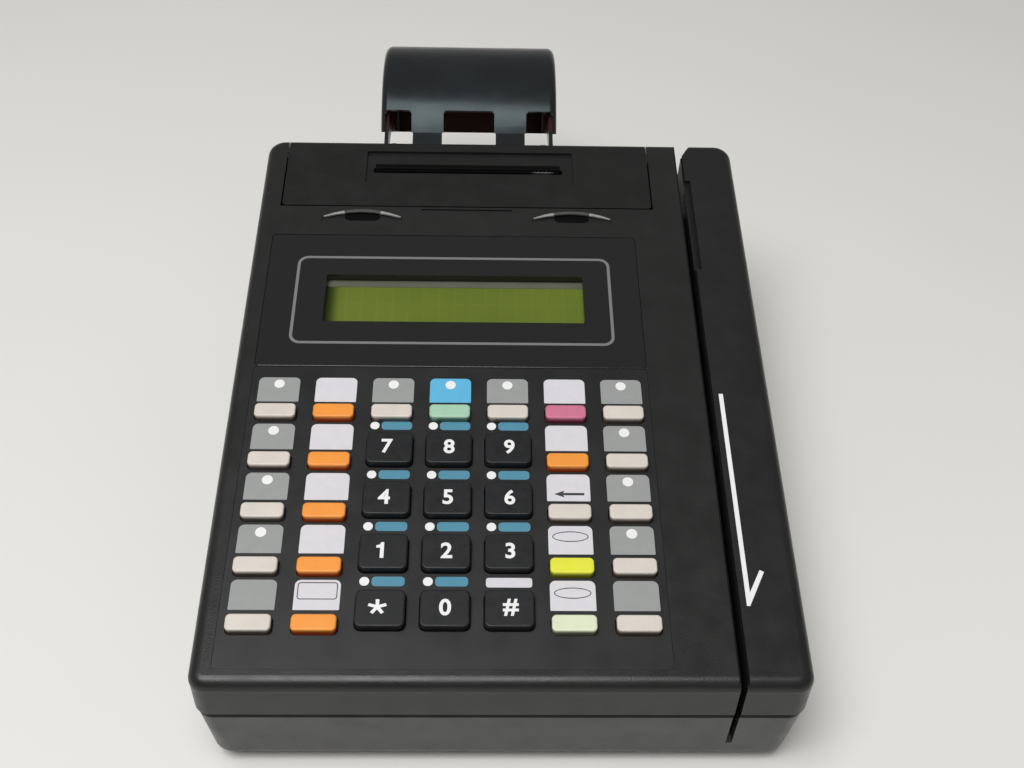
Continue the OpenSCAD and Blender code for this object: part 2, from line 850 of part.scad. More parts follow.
// Two phone jacks, a serial jack and a round power inlet
module rear_sockets() {
    y1 = case_y1 - base_setback - base_lean - 0.2;
    color("#1d1d1f") for (i = [0 : len(socket_x) - 1]) difference() {
        box(socket_x[i] - socket_w[i] / 2, y1 - 16, socket_z0,
            socket_x[i] + socket_w[i] / 2, y1, socket_z0 + socket_h[i]);
        if (i < 3)
            box(socket_x[i] - socket_w[i] / 2 + 1.6, y1 - 11, socket_z0 + 1.6,
                socket_x[i] + socket_w[i] / 2 - 1.6, y1 + 1,
                socket_z0 + socket_h[i] - 2);
        else translate([socket_x[i], y1 - 11, socket_z0 + socket_h[i] / 2])
            rotate([-90, 0, 0]) difference() {
                cylinder(h = 12, r = 4.4);
                translate([0, 0, -0.01]) cylinder(h = 10, r = 1);
            }
    }
}

module rubber_feet() {
    color("#222222") foot_places() {
        cylinder_from(0.6, foot_h + foot_pocket, foot_r);
        cylinder_from(0, 0.61, foot_r - 0.6);
    }
}

module case_screws() {
    color("#b9bbbe") screw_places() difference() {
        union() {
            cylinder_from(foot_h + counterbore - 2.2, foot_h + counterbore,
                          screw_head_r);
            cylinder_from(foot_h + counterbore - 0.1, boss_split + 8, screw_r);
        }
        cylinder_from(0, foot_h + counterbore - 1.2, 1.2);
    }
}

// Card reader

guide_x0 = slot_left - slot_wall - 10;
guide_s = [head_at - 12, head_at + 12];

module read_head_guides() {
    at_deck() for (s = guide_s)
        translate([guide_x0, s, -head_depth]) rotate([0, 90, 0])
            cylinder(h = slot_left - 0.5 - guide_x0, r = 1.5);
}

module read_head_window() {
    at_deck() box(slot_left - slot_wall - 1, head_at - 5.4, -head_depth - 4.9,
                  slot_left + 1, head_at + 5.4, -head_depth + 4.9);
}

// Magnetic head on a plate that floats on two guides
module read_head() {
    nose = 1.1;
    plate_x1 = slot_left - slot_wall - 1.2;
    color("#c3c6ca") at_deck() translate([0, head_at, -head_depth]) difference() {
        union() {
            intersection() {
                box(slot_left - 12, -5, -4.5, slot_left + nose, 5, 4.5);
                translate([slot_left + nose - 12, 0, -10]) cylinder(h = 20, r = 12);
            }
            box(plate_x1 - 1.4, -16, -4, plate_x1, 16, 4);
        }
        for (s = guide_s) translate([0, s - head_at, 0])
            axle(guide_x0 - 5, slot_left, 1.5 + run);
    }
}

// Printer

// Spur gear with straight-sided teeth, its axis along X
module gear(teeth, t, bore_r) {
    pitch_r = gear_module * teeth / 2;
    tip_r = pitch_r + 0.8 * gear_module;
    root_r = pitch_r - 1.15 * gear_module;
    step = 360 / teeth;
    rotate([90, 0, 90]) linear_extrude(t) difference() {
        union() {
            circle(root_r);
            for (i = [0 : teeth - 1]) rotate(i * step) polygon([
                for (p = [[root_r - 0.3, 0.29], [pitch_r, 0.21], [tip_r, 0.1],
                          [tip_r, -0.1], [pitch_r, -0.21], [root_r - 0.3, -0.29]])
                    p[0] * [cos(p[1] * step), sin(p[1] * step)]
            ]);
        }
        if (bore_r > 0) circle(bore_r);
    }
}

// Lid with the paper slot, side flanges and two hinge pins
module printer_cover() {
    flange_t = 1.6;
    recess_x0 = printer_x - 41;
    recess_x1 = printer_x + 42.5;
    slot_s = deck_len - paper_slot_back;
    color("#2e2f31") difference() {
        union() {
            difference() {
                intersection() {
                    at_deck() soft_block(
                        left_x, 0, right_x, deck_len,
                        [front_corner_r, front_corner_r,
                         rear_corner_r, rear_corner_r],
                        cover_skirt, edge_r
                    );
                    at_deck() translate([0, 0, -cover_skirt])
                        linear_extrude(cover_skirt + 1)
                            plan(cover_x0, cover_s0, cover_x1, deck_len + 1,
                                 [1.5, 1.5, 2, 2]);
                    box(-BIG, -BIG, 0, BIG, case_y1 - skin, BIG);
                }
                at_deck() box(cover_x0 + flange_t, cover_s0 + flange_t,
                              -cover_skirt - 1, cover_x1 - flange_t,
                              deck_len - 2 * flange_t - 1, -cover_t);
            }
            // Ears that carry the hinge pins
            at_deck() for (x = [cover_x0, cover_x1 - 2.4])
                translate([x, hinge_s, hinge_n]) axle(0, 2.4, 3);
            at_deck() translate([0, hinge_s, hinge_n]) {
                axle(tub_x0 + move_gap, cover_x0 + 1, cover_pin_r);
                axle(cover_x1 - 1, tub_x1 - move_gap, cover_pin_r);
            }
        }
        at_deck() translate([0, 0, -slot_recess]) linear_extrude(6)
            plan(recess_x0, slot_s - 8.2, recess_x1, slot_s + 10, [1, 1, 1, 1]);
        at_deck() translate([printer_x, slot_s, -cover_skirt - 1])
            linear_extrude(cover_skirt + 2) rounded(paper_slot_w, paper_slot_l, 1);
    }
}

// Toothed steel edge along the front of the paper slot
module tear_bar() {
    front = deck_len - paper_slot_back - paper_slot_l / 2;
    tooth = 1.6;
    count = floor(paper_slot_w / tooth);
    x0 = printer_x - count * tooth / 2;
    color("#c9ccd0") at_deck() {
        box(x0, front - 6, -cover_t - 0.6, x0 + count * tooth, front + 0.2,
            -cover_t - 0.1);
        translate([0, 0, -cover_t - 0.6]) linear_extrude(0.5)
            for (i = [0 : count - 1])
                polygon([
                    [x0 + i * tooth, front + 0.1],
                    [x0 + (i + 1) * tooth, front + 0.1],
                    [x0 + (i + 0.5) * tooth, front + 1.1]
                ]);
    }
}

// Tub under the cover, with two side plates and the print head's guide rod
module printer_chassis() {
    floor_n = -tub_floor;
    color("#3c3e41") difference() {
        intersection() {
            union() {
                at_deck() difference() {
                    box(tub_x0, tub_s0, floor_n, tub_x1, deck_len, -deck_t - seat);
                    box(tub_x0 + tub_t, tub_s0 + tub_t, floor_n + tub_t,
                        tub_x1 - tub_t, deck_len + 1, 1);
                }
                at_deck() for (side = [-1, 1])
                    translate([printer_x + side * (plate_x + plate_t / 2), 0, 0])
                        chassis_plate(floor_n);
                at_deck() translate([printer_x, rod_s, rod_n])
                    axle(-plate_x - 0.5, plate_x + 0.5, rod_r);
            }
            box(-BIG, -BIG, 0, BIG, case_y1 - wall - skin - move_gap, BIG);
        }
        at_deck() translate([printer_x, platen_s, platen_n])
            axle(-plate_x - 5, plate_x + 5, shaft_r + run);
        at_deck() translate([0, hinge_s, hinge_n])
            axle(-BIG, BIG, cover_pin_r + run);
    }
}

module chassis_plate(floor_n) {
    difference() {
        box(-plate_t / 2, rod_s - 4, floor_n + tub_t - 0.5,
            plate_t / 2, deck_len - 7.5, ribbon_n - move_gap);
        translate([-5, deck_len - 5.2, platen_n + 8]) rotate([0, 90, 0])
            cylinder(h = 10, r = 4);
    }
}

module platen_roller() {
    color("#26272a") at_deck() translate([printer_x, platen_s, platen_n]) {
        axle(-platen_len / 2, platen_len / 2, platen_r);
        axle(-plate_x - plate_t - 2, gear_x + gear_t + 1, shaft_r);
        translate([gear_x, 0, 0]) gear(platen_teeth, gear_t, 0);
    }
}

// Block that slides on the guide rod, with the print wires' nose
module print_head() {
    color("#55585c") at_deck() translate([printer_x, rod_s, rod_n]) difference() {
        union() {
            box(-7, -4.6, -7, 7, 4.2, 4.5);
            box(-3.5, 4.1, -5.5, 3.5, platen_s - platen_r - 1.4 - rod_s, 1.5);
            for (n = [-6 : 1.6 : -2]) box(-8, -5.6, n, 8, -4.5, n + 0.7);
        }
        axle(-20, 20, rod_r + run);
    }
}

// Ribbon box that lies on the side plates in front of the platen
module ribbon_cartridge() {
    n0 = ribbon_n;
    x0 = -plate_x - 6;
    s0 = cover_s0 + 2.2;
    s1 = platen_s - platen_r - 2;
    color("#4a4c50") at_deck() translate([printer_x, 0, 0]) difference() {
        union() {
            translate([0, 0, n0]) linear_extrude(-cover_t - 2.4 - n0)
                plan(x0, s0, -x0, s1, [3, 3, 2, 2]);
            translate([x0 + 9, (s0 + s1) / 2, n0]) cylinder(
                h = -cover_t - 0.9 - n0, r = 3.6);
        }
        box(-22, s1 - 4, n0 - 1, 22, s1 + 1, 0);
    }
}

module printer_motor() {
    x0 = motor_x0;
    color("#aeb2b6") at_deck() translate([printer_x, pinion_s, pinion_n])
        difference() {
            union() {
                axle(x0, x0 + motor_l, motor_r);
                // Foot that stands on the tub's floor
                box(x0, -motor_r, -tub_floor + tub_t - pinion_n,
                    x0 + motor_l, motor_r, -3);
            }
            axle(x0 - 1, x0 + motor_bore, 1 + run);
        }
}

module motor_pinion() {
    x0 = gear_x;
    // Turned by this much to mesh with the platen's gear
    phase = mesh_angle + 180 + 180 / pinion_teeth
        + (mesh_angle % (360 / platen_teeth)) * platen_teeth / pinion_teeth;
    color("#d8cfae") at_deck() translate([printer_x, pinion_s, pinion_n]) {
        translate([x0, 0, 0]) rotate([phase, 0, 0]) gear(pinion_teeth, gear_t, 0);
        axle(x0 + gear_t - 0.5, motor_x0 + motor_bore - move_gap, 1);
    }
}

// Roll hood

// Section of the drum's shell: across (x) and out from the axis (y)
module drum_section(w, r, e) {
    plan(-w / 2, -1, w / 2, r, [0, 0, e, e]);
}

module drum(w, r, e) {
    rotate([90, 0, 90]) rotate_extrude() rotate(-90) mirror([1, 0])
        intersection() {
            drum_section(w, r, e);
            translate([-w, 0]) square([2 * w, r + 1]);
        }
}

// Point on a circle of radius r around the drum's axis, in Y and Z
function on_drum(r, angle) = [hood_y + r * cos(angle), hood_z + r * sin(angle)];
// Point on the hinge's knuckle
function on_knuckle(angle) = [
    rod_y + knuckle_r * cos(angle), rod_z + knuckle_r * sin(angle)
];

// Side profile in Y and Z, extruded across from x0 to x1
module across(x0, x1) {
    translate([x0, 0, 0]) rotate([90, 0, 90]) linear_extrude(x1 - x0) children();
}

// Window from the front rim up the drum, between x0 and x1
module hood_window(x0, x1) {
    window_deg = window_arc / hood_r * 180 / PI;
    translate([0, hood_y, hood_z]) rotate([rim_front - window_deg, 0, 0])
        translate([0, hood_r + 5, 0]) rotate([90, 0, 0]) linear_extrude(13)
            plan(x0, 0, x1, 40, [window_r, window_r, 0, 0]);
}

module paper_hood() {
    inner_e = max(hood_edge_r - hood_wall, 0.5);
    inner_w = hood_w - 2 * hood_wall;
    middle = (rim_front + rim_rear) / 2;
    chord = hood_r * cos((rim_front - rim_rear) / 2);
    window_x1 = (strap_pitch - strap_w) / 2;
    window_x2 = (strap_pitch + strap_w) / 2;
    color("#202124") translate([printer_x, 0, 0]) difference() {
        union() {
            difference() {
                translate([0, hood_y, hood_z]) difference() {
                    drum(hood_w, hood_r, hood_edge_r);
                    drum(inner_w, hood_r - hood_wall, inner_e);
                    // Flat mouth between the two rims
                    rotate([middle, 0, 0])
                        box(-hood_w, -BIG, -BIG, hood_w, chord, BIG);
                }
                hood_window(-window_x1, window_x1);
                hood_window(window_x2, inner_w / 2);
                hood_window(-inner_w / 2, -window_x2);
            }
            for (side = [-1, 1]) {
                translate([side * strap_pitch / 2, 0, 0]) strap();
                translate([side * (ear_x + ear_t / 2), 0, 0]) ear();
            }
        }
        translate([0, rod_y, rod_z]) axle(-hood_w, hood_w, hinge_rod_r + run);
    }
}

// Strap from the drum's rim to a knuckle on the hinge rod
module strap() {
    w = strap_w - 1.2;
    inner_r = hood_r - hood_wall;
    across(-w / 2, w / 2) {
        polygon([
            on_drum(hood_r, rim_front - 4), on_drum(hood_r, rim_front),
            on_knuckle(115), [rod_y, rod_z], on_knuckle(20),
            on_drum(inner_r, rim_front), on_drum(inner_r, rim_front - 4)
        ]);
        translate([rod_y, rod_z]) circle(knuckle_r);
    }
}

// Thin arm beside the bracket's arm. Its heel rests on the bracket's tab and
// stops the hood from tipping back
module ear() {
    half = ear_t / 2 + seat;
    heel_y = case_y1 - skin + bracket_t + move_gap;
    across(-half, half) {
        polygon([
            on_knuckle(115), on_drum(hood_r - 0.5, rim_front),
            on_drum(hood_r - 4, rim_front - 12), on_drum(hood_r * 0.6, rim_front - 6),
            on_knuckle(-50), [rod_y, rod_z]
        ]);
        polygon([
            [heel_y, rod_z], [heel_y, heel_z], [heel_y + 1.6, heel_z],
            on_knuckle(-20), [rod_y, rod_z + 1]
        ]);
        translate([rod_y, rod_z]) circle(knuckle_r);
    }
}

module hood_hinge_rod() {
    color("#c9ccd0") translate([printer_x, rod_y, rod_z])
        axle(-ear_x - ear_t - 0.2, ear_x + ear_t + 0.2, hinge_rod_r);
}

plate_z0 = seam_top + 6;
bracket_t = 2.4;

module bracket_screw_holes(r) {
    for (side = [-1, 1])
        translate([printer_x + side * 20, case_y1 - 10, plate_z0 + 14])
            rotate([-90, 0, 0]) cylinder(h = 30, r = r);
}

// Back plate with the two arms that carry the spindle and the hinge rod
module roll_bracket() {
    top = rear_wall_top - 1.5;
    y0 = case_y1 - skin;
    arm_out = arm_x + arm_t;
    color("#2c2d2f") translate([printer_x, 0, 0]) difference() {
        union() {
            box(-arm_out, y0, plate_z0, arm_out, y0 + bracket_t, top);
            for (side = [-1, 1]) {
                translate([side * (arm_x + arm_t / 2), 0, 0]) arm(y0, top);
                // Tab that the hood's heel rests on
                translate([side * (arm_x + ear_x + ear_t) / 2, 0, 0])
                    box(-(ear_x + ear_t - arm_x) / 2, y0, top - 12,
                        (ear_x + ear_t - arm_x) / 2, y0 + bracket_t, heel_z + 4);
            }
        }
        translate([-printer_x, 0, 0]) bracket_screw_holes(screw_r + 0.2);
        translate([0, rod_y, rod_z]) axle(-hood_w, hood_w, hinge_rod_r + seat);
        translate([0, hood_y, spindle_h])
            axle(-hood_w, hood_w, spindle_slot + run);
        box(-hood_w, hood_y - spindle_slot - run, spindle_h,
            hood_w, hood_y + spindle_slot + run, BIG);
    }
}

module arm(y0, top) {
    across(-arm_t / 2, arm_t / 2) {
        polygon([
            [y0, plate_z0], [hood_y, spindle_h - eye_r],
            [hood_y, spindle_h + eye_r], [rod_y + knuckle_r, rod_z - 3],
            [rod_y - 1.8, rod_z - 3], [y0 + bracket_t, top - 3], [y0, top - 3]
        ]);
        translate([hood_y, spindle_h]) circle(eye_r);
        translate([rod_y, rod_z]) circle(knuckle_r);
        polygon([
            on_knuckle(180), on_knuckle(0),
            [rod_y + knuckle_r + 1, rod_z - 6], [y0 + bracket_t, top - 4]
        ]);
    }
}

module roll_spindle() {
    color("#e3e0d6") translate([printer_x, hood_y, spindle_h]) {
        axle(-arm_x + move_gap, arm_x - move_gap, spindle_r);
        axle(-arm_x - arm_t - 0.4, arm_x + arm_t + 0.4, spindle_slot);
    }
}

// Keys

module key_top(column, row) {
    w = key_w(column, row);
    l = key_l(column, row);
    h = key_h(column, row);
    r = is_number(column, row) ? number_corner_r : bar_corner_r;
    at_deck() translate([key_x(column), key_s(column, row), 0]) {
        translate([0, 0, h]) soft_block(
            -w / 2, -l / 2, w / 2, l / 2, [r, r, r, r], h - rim_top + 0.1, key_edge_r
        );
        translate([0, 0, rim_bottom]) linear_extrude(key_rim_t)
            rounded(w + 2 * (key_gap + key_rim), l + 2 * (key_gap + key_rim), r);
    }
}

// Colour of a bar key by its column and its row counted from the front
function bar_colour(column, row) =
    column == 1 ? "#f29a3a"
    : column == 5 && row == 3 ? "#f29a3a"
    : column == 5 && row == 4 ? "#ef8fa8"
    : column == 5 && row == 1 ? "#f2d23a"
    : column == 5 && row == 0 ? "#dfe8c8"
    : column == 3 ? "#bfe0b8"
    : "#ece6da";

base_housing();
top_housing();
card_rail();
keypad_overlay();
display_lens();
display_module();
keypad_mat();
keypad_board();
main_board();
rear_sockets();
printer_cover();
tear_bar();
printer_chassis();
platen_roller();
print_head();
ribbon_cartridge();
printer_motor();
motor_pinion();
paper_hood();
hood_hinge_rod();
roll_bracket();
roll_spindle();
read_head();
rubber_feet();
case_screws();
for (row = [0 : ROWS - 1]) for (column = [0 : COLUMNS - 1])
    color(is_number(column, row) ? "#2a2a2c" : bar_colour(column, row))
            key_top(column, row);
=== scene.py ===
"""Dresses the payment terminal: moulded finishes, printed marks, display, lights and camera."""

import logging
import math
from abc import ABC, abstractmethod
from dataclasses import dataclass, field
from enum import Enum

import bmesh
import bpy
from mathutils import Euler, Matrix, Vector


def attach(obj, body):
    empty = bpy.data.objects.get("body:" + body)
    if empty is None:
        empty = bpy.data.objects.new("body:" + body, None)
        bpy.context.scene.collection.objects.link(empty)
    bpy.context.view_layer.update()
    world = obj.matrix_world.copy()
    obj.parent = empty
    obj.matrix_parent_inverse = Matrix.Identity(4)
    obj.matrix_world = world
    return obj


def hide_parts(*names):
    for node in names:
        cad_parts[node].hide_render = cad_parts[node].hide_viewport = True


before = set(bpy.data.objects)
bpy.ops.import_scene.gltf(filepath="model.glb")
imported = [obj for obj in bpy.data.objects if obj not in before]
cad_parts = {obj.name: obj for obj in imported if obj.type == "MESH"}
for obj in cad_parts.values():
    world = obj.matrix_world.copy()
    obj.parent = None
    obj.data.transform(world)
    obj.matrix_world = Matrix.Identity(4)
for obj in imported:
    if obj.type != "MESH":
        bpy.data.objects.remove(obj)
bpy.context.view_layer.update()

LOG = logging.getLogger("terminal")
MM = 0.001
CASE = "case"
ACRYLIC_IOR = 1.49
LINE_STRETCH = 0.04

Point2 = tuple[float, float]
Point3 = tuple[float, float, float]
Box = tuple[float, float, float, float]
Outline = list[Point2]
Inputs = dict[str | int, object]
Socket = bpy.types.NodeSocket


# Colour and node helpers


def linear(hex_colour: str) -> tuple[float, float, float, float]:
    """Turns an sRGB hex colour to linear light.

    Args:
        hex_colour: Colour such as "#2f3032".

    Returns:
        Linear red, green, blue and an alpha of 1.
    """
    channels = [int(hex_colour[i : i + 2], 16) / 255 for i in (1, 3, 5)]
    light = [c / 12.92 if c <= 0.04045 else ((c + 0.055) / 1.055) ** 2.4 for c in channels]
    return (light[0], light[1], light[2], 1.0)


def feed(tree: bpy.types.NodeTree, node: bpy.types.Node, inputs: Inputs) -> None:
    """Sets or links inputs of a node.

    Args:
        tree: Node tree that holds the node.
        node: The node.
        inputs: Values or source sockets, by name or index of the input.
    """
    for key, value in inputs.items():
        if isinstance(value, Socket):
            tree.links.new(value, node.inputs[key])
        else:
            node.inputs[key].default_value = value


def add_node(
    tree: bpy.types.NodeTree, kind: str, inputs: Inputs | None = None, **settings: object
) -> bpy.types.Node:
    """Adds a node with its settings, input values and links.

    Args:
        tree: Node tree that gets the node.
        kind: Type of the node, such as "ShaderNodeBump".
        inputs: Values or source sockets for its inputs, by name or index.
        settings: Properties of the node by name.

    Returns:
        The new node.
    """
    node = tree.nodes.new(kind)
    for name, value in settings.items():
        setattr(node, name, value)
    feed(tree, node, inputs or {})
    return node


def ramp(
    tree: bpy.types.NodeTree,
    value: Socket,
    ends: Point2,
    results: tuple[float | Socket, float] = (0.0, 1.0),
    course: str = "SMOOTHSTEP",
) -> Socket:
    """Maps a value between two ends to two results, and holds it beyond them.

    Args:
        tree: Node tree.
        value: The value.
        ends: Where the first and the second result are reached.
        results: The two results.
        course: How the value runs between them, as the node names it.

    Returns:
        Socket with the mapped value.
    """
    names = ("From Min", "From Max", "To Min", "To Max")
    inputs = {"Value": value, **dict(zip(names, (*ends, *results)))}
    node = add_node(tree, "ShaderNodeMapRange", inputs, interpolation_type=course)
    return node.outputs["Result"]


def tinted(hex_colour: str, factor: float) -> str:
    """Returns a colour made lighter or darker by a factor on its sRGB values.

    Args:
        hex_colour: Colour as hex.
        factor: Above 1 for lighter, below 1 for darker.

    Returns:
        The new colour as hex.
    """
    values = [min(255, round(int(hex_colour[i : i + 2], 16) * factor)) for i in (1, 3, 5)]
    return "#" + "".join(f"{v:02x}" for v in values)


# Finishes


class Paint:
    """The node tree of one material, with the patterns that its finish is made of.

    Args:
        tree: Node tree of the material. It is emptied first.
    """

    def __init__(self, tree: bpy.types.NodeTree) -> None:
        """Adds the Principled shader, its output and the object coordinates in metres."""
        tree.nodes.clear()
        self.tree = tree
        self.shader = add_node(tree, "ShaderNodeBsdfPrincipled")
        add_node(tree, "ShaderNodeOutputMaterial", {"Surface": self.shader.outputs[0]})
        self.coordinates = add_node(tree, "ShaderNodeTexCoord").outputs["Object"]

    def apply(self, inputs: Inputs) -> None:
        """Sets or links inputs of the shader, by name."""
        feed(self.tree, self.shader, inputs)

    def source(self, name: str) -> Socket:
        """Returns the socket that feeds an input of the shader."""
        return self.shader.inputs[name].links[0].from_socket

    def axis(self, letter: str) -> Socket:
        """Returns the coordinate along X, Y or Z."""
        split = add_node(self.tree, "ShaderNodeSeparateXYZ", {"Vector": self.coordinates})
        return split.outputs[letter]

    def mapped(self, scale: Point3, shift: Point3 = (0.0, 0.0, 0.0)) -> Socket:
        """Returns the coordinates scaled and then shifted."""
        inputs = {"Vector": self.coordinates, "Location": shift, "Scale": scale}
        return add_node(self.tree, "ShaderNodeMapping", inputs).outputs[0]

    def math(self, operation: str, *terms: float | Socket) -> Socket:
        """Returns the result of an operation on values."""
        inputs = dict(enumerate(terms))
        return add_node(self.tree, "ShaderNodeMath", inputs, operation=operation).outputs[0]

    def vector_math(self, operation: str, *terms: Point3 | Socket) -> Socket:
        """Returns the value that an operation on vectors gives."""
        inputs = dict(enumerate(terms))
        node = add_node(self.tree, "ShaderNodeVectorMath", inputs, operation=operation)
        return node.outputs["Value"]

    def patches(
        self,
        size_mm: float,
        low: float = 0.0,
        high: float = 1.0,
        detail: float = 2.0,
        where: Socket | None = None,
    ) -> Socket:
        """Returns soft patches of the given size as values from low to high.

        Args:
            size_mm: Size of a patch.
            low: Value in the darkest patch.
            high: Value in the brightest patch.
            detail: Octaves of the noise.
            where: Coordinates, if not the object's own.

        Returns:
            Socket with the values.
        """
        inputs = {
            "Vector": self.coordinates if where is None else where,
            "Scale": 1 / (size_mm * MM),
            "Detail": detail,
        }
        noise = add_node(self.tree, "ShaderNodeTexNoise", inputs).outputs["Fac"]
        return ramp(self.tree, noise, (0.3, 0.7), (low, high), "LINEAR")

    def bricks(self, pitch_mm: float, mortar: Point2, brick: Point2, **settings: float) -> Socket:
        """Returns the joints of a brick pattern.

        Args:
            pitch_mm: Size that the other measures are shares of.
            mortar: Width and softness of the joints.
            brick: Width and height of a brick.
            settings: Properties of the brick node.

        Returns:
            Socket that is 1 in the joints.
        """
        inputs = {
            "Vector": self.coordinates,
            "Scale": 1 / (pitch_mm * MM),
            "Mortar Size": mortar[0],
            "Mortar Smooth": mortar[1],
            "Brick Width": brick[0],
            "Row Height": brick[1],
        }
        return add_node(self.tree, "ShaderNodeTexBrick", inputs, **settings).outputs["Fac"]

    def shaded(self, amount: Socket, dark: str | Socket, light: str | Socket) -> Socket:
        """Mixes two colours by a value.

        Args:
            amount: Share of the light colour.
            dark: Colour at 0, as hex or socket.
            light: Colour at 1, as hex or socket.

        Returns:
            Colour socket.
        """
        first, second = (linear(c) if isinstance(c, str) else c for c in (dark, light))
        inputs = {0: amount, 6: first, 7: second}
        return add_node(self.tree, "ShaderNodeMix", inputs, data_type="RGBA").outputs[2]

    def bump(self, height: Socket, strength: float, depth_mm: float) -> Socket:
        """Returns a normal that follows a pattern of the given depth."""
        inputs = {"Height": height, "Strength": strength, "Distance": depth_mm * MM}
        return add_node(self.tree, "ShaderNodeBump", inputs).outputs[0]


@dataclass(frozen=True)
class Finish(ABC):
    """A surface finish that can make its own material.

    Args:
        name: Name of the material, after the real material and its surface.
        colour: Main colour as sRGB hex.
        roughness: Mean roughness of the surface.
    """

    name: str
    colour: str
    roughness: float

    def material(self) -> bpy.types.Material:
        """Returns the material of this finish, made once.

        Returns:
            The Blender material.
        """
        found = bpy.data.materials.get(self.name)
        if found is not None:
            return found
        made = bpy.data.materials.new(self.name)
        made.use_nodes = True
        made.diffuse_color = linear(self.colour)
        self.dress(Paint(made.node_tree))
        return made

    @abstractmethod
    def dress(self, paint: Paint) -> None:
        """Sets the shader and its patterns.

        Args:
            paint: The material's node tree.
        """

    def varied(self, paint: Paint, amount: Socket, dark: float, light: float) -> Socket:
        """Returns the main colour, tinted by a pattern between two factors."""
        return paint.shaded(amount, tinted(self.colour, dark), tinted(self.colour, light))


@dataclass(frozen=True)
class MouldedPlastic(Finish):
    """Injection-moulded ABS or similar with an eroded grain from the mould.

    Args:
        grain_mm: Size of one grain of the texture.
        grain_depth_mm: Depth of the texture.
        mottle: Spread of the colour between handled and clean patches.
        patch_mm: Size of those patches.
        gloss_spread: Spread of the roughness between those patches.
        specular: Specular level of the shader.
        coat: Weight of a clear gloss over the colour.
        coat_roughness: Roughness of that gloss.
        seam_shade_mm: Height above which the piece is painted near-black as the seam's shadow, or
            0.
    """

    grain_mm: float = 0.5
    grain_depth_mm: float = 0.02
    mottle: float = 0.08
    patch_mm: float = 22.0
    gloss_spread: float = 0.06
    specular: float = 0.5
    coat: float = 0.0
    coat_roughness: float = 0.1
    seam_shade_mm: float = 0.0

    def seam(self, paint: Paint) -> None:
        """Paints shade on the lip above the seam's height: near-black and dull, for the seam's
        shadow.
        """
        fade_mm, dull = 0.5, 0.05
        ends = (self.seam_shade_mm * MM, (self.seam_shade_mm + fade_mm) * MM)
        # Painted shade: the lip goes near-black and dull where the seam's shadow falls.
        above = ramp(paint.tree, paint.axis("Z"), ends)
        shine = ramp(paint.tree, above, (0.0, 1.0), (self.specular, dull), "LINEAR")
        lip = paint.shaded(above, paint.source("Base Color"), "#0c0c0c")
        paint.apply({"Base Color": lip, "Specular IOR Level": shine})

    def dress(self, paint: Paint) -> None:
        """Sets colour patches, uneven gloss and the moulded grain."""
        patch = paint.patches(self.patch_mm, detail=4.0)
        low, high = self.roughness - self.gloss_spread, self.roughness + self.gloss_spread
        grain = paint.patches(self.grain_mm)
        paint.apply(
            {
                "Base Color": self.varied(paint, patch, 1 - self.mottle, 1 + self.mottle),
                "Roughness": paint.patches(self.patch_mm * 0.4, low, high),
                "Normal": paint.bump(grain, 1.0, self.grain_depth_mm),
                "Specular IOR Level": self.specular,
                "Coat Weight": self.coat,
                "Coat Roughness": self.coat_roughness,
            }
        )
        if self.seam_shade_mm > 0:
            self.seam(paint)


@dataclass(frozen=True)
class KeyPlastic(MouldedPlastic):
    """Key plastic with painted shade low on its skirt.

    Args:
        skirt_shade_mm: Heights above the deck where the painted shade on the skirt is darkest and
            where it ends.
        skirt: Colour of the painted shade at the skirt's foot, as hex.
        deck_mm: Height of the deck's plane over the origin, square to the deck.
        upright: Direction square to the deck.
    """

    grain_mm: float = 0.4
    grain_depth_mm: float = 0.006
    mottle: float = 0.02
    patch_mm: float = 6.0
    # Painted shade: where the skirt darkens, and its colour at the foot.
    skirt_shade_mm: Point2 = (0.9, 2.4)
    skirt: str = "#5c504a"
    deck_mm: float = 72.265
    upright: Point3 = (0.0, -0.15643, 0.98769)

    def dress(self, paint: Paint) -> None:
        """Sets the plastic, then paints shade low on the skirt."""
        super().dress(paint)
        height = paint.vector_math("DOT_PRODUCT", paint.coordinates, self.upright)
        low, high = ((self.deck_mm + rise) * MM for rise in self.skirt_shade_mm)
        # Painted shade: the skirt darkens towards the deck, where the key's sides fall in shade.
        share = ramp(paint.tree, height, (low, high))
        paint.apply({"Base Color": paint.shaded(share, self.skirt, paint.source("Base Color"))})


@dataclass(frozen=True)
class SmokedPlastic(Finish):
    """Polished smoked acrylic, blue-black outside, with red-brown painted on the inner face for
    the light that comes through.

    Args:
        inside: Red-brown painted on the inner face for the light that comes through it.
        axis_mm: Y and Z of the drum's middle.
        inner_mm: Radius below which a point is on the inner face.
        ripple_mm: Size of the faint flow ripples in the polished face.
        sheen: Tint of the reflections.
    """

    # Painted light: the red-brown of light coming through the smoked plastic.
    inside: str = "#3d201f"
    axis_mm: Point2 = (118.424, 54.0)
    inner_mm: float = 41.9
    ripple_mm: float = 14.0
    sheen: str = "#dcf2f4"

    def dress(self, paint: Paint) -> None:
        """Sets the outer colour, the red-brown painted light of the inner face, the polish and its
        flow ripples.
        """
        y, z = self.axis_mm
        centred = paint.mapped((0, 1, 1), (0, -y * MM, -z * MM))
        reach = paint.vector_math("LENGTH", centred)
        inner = paint.math("LESS_THAN", reach, self.inner_mm * MM)
        outside = self.varied(paint, paint.patches(30.0), 0.9, 1.1)
        ripple = paint.patches(self.ripple_mm, detail=1.0)
        paint.apply(
            {
                "Base Color": paint.shaded(inner, outside, self.inside),
                "Roughness": paint.patches(9.0, self.roughness - 0.03, self.roughness + 0.06, 5.0),
                "Normal": paint.bump(ripple, 0.5, 0.05),
                "IOR": ACRYLIC_IOR,
                "Specular IOR Level": 0.3,
                "Specular Tint": linear(self.sheen),
            }
        )


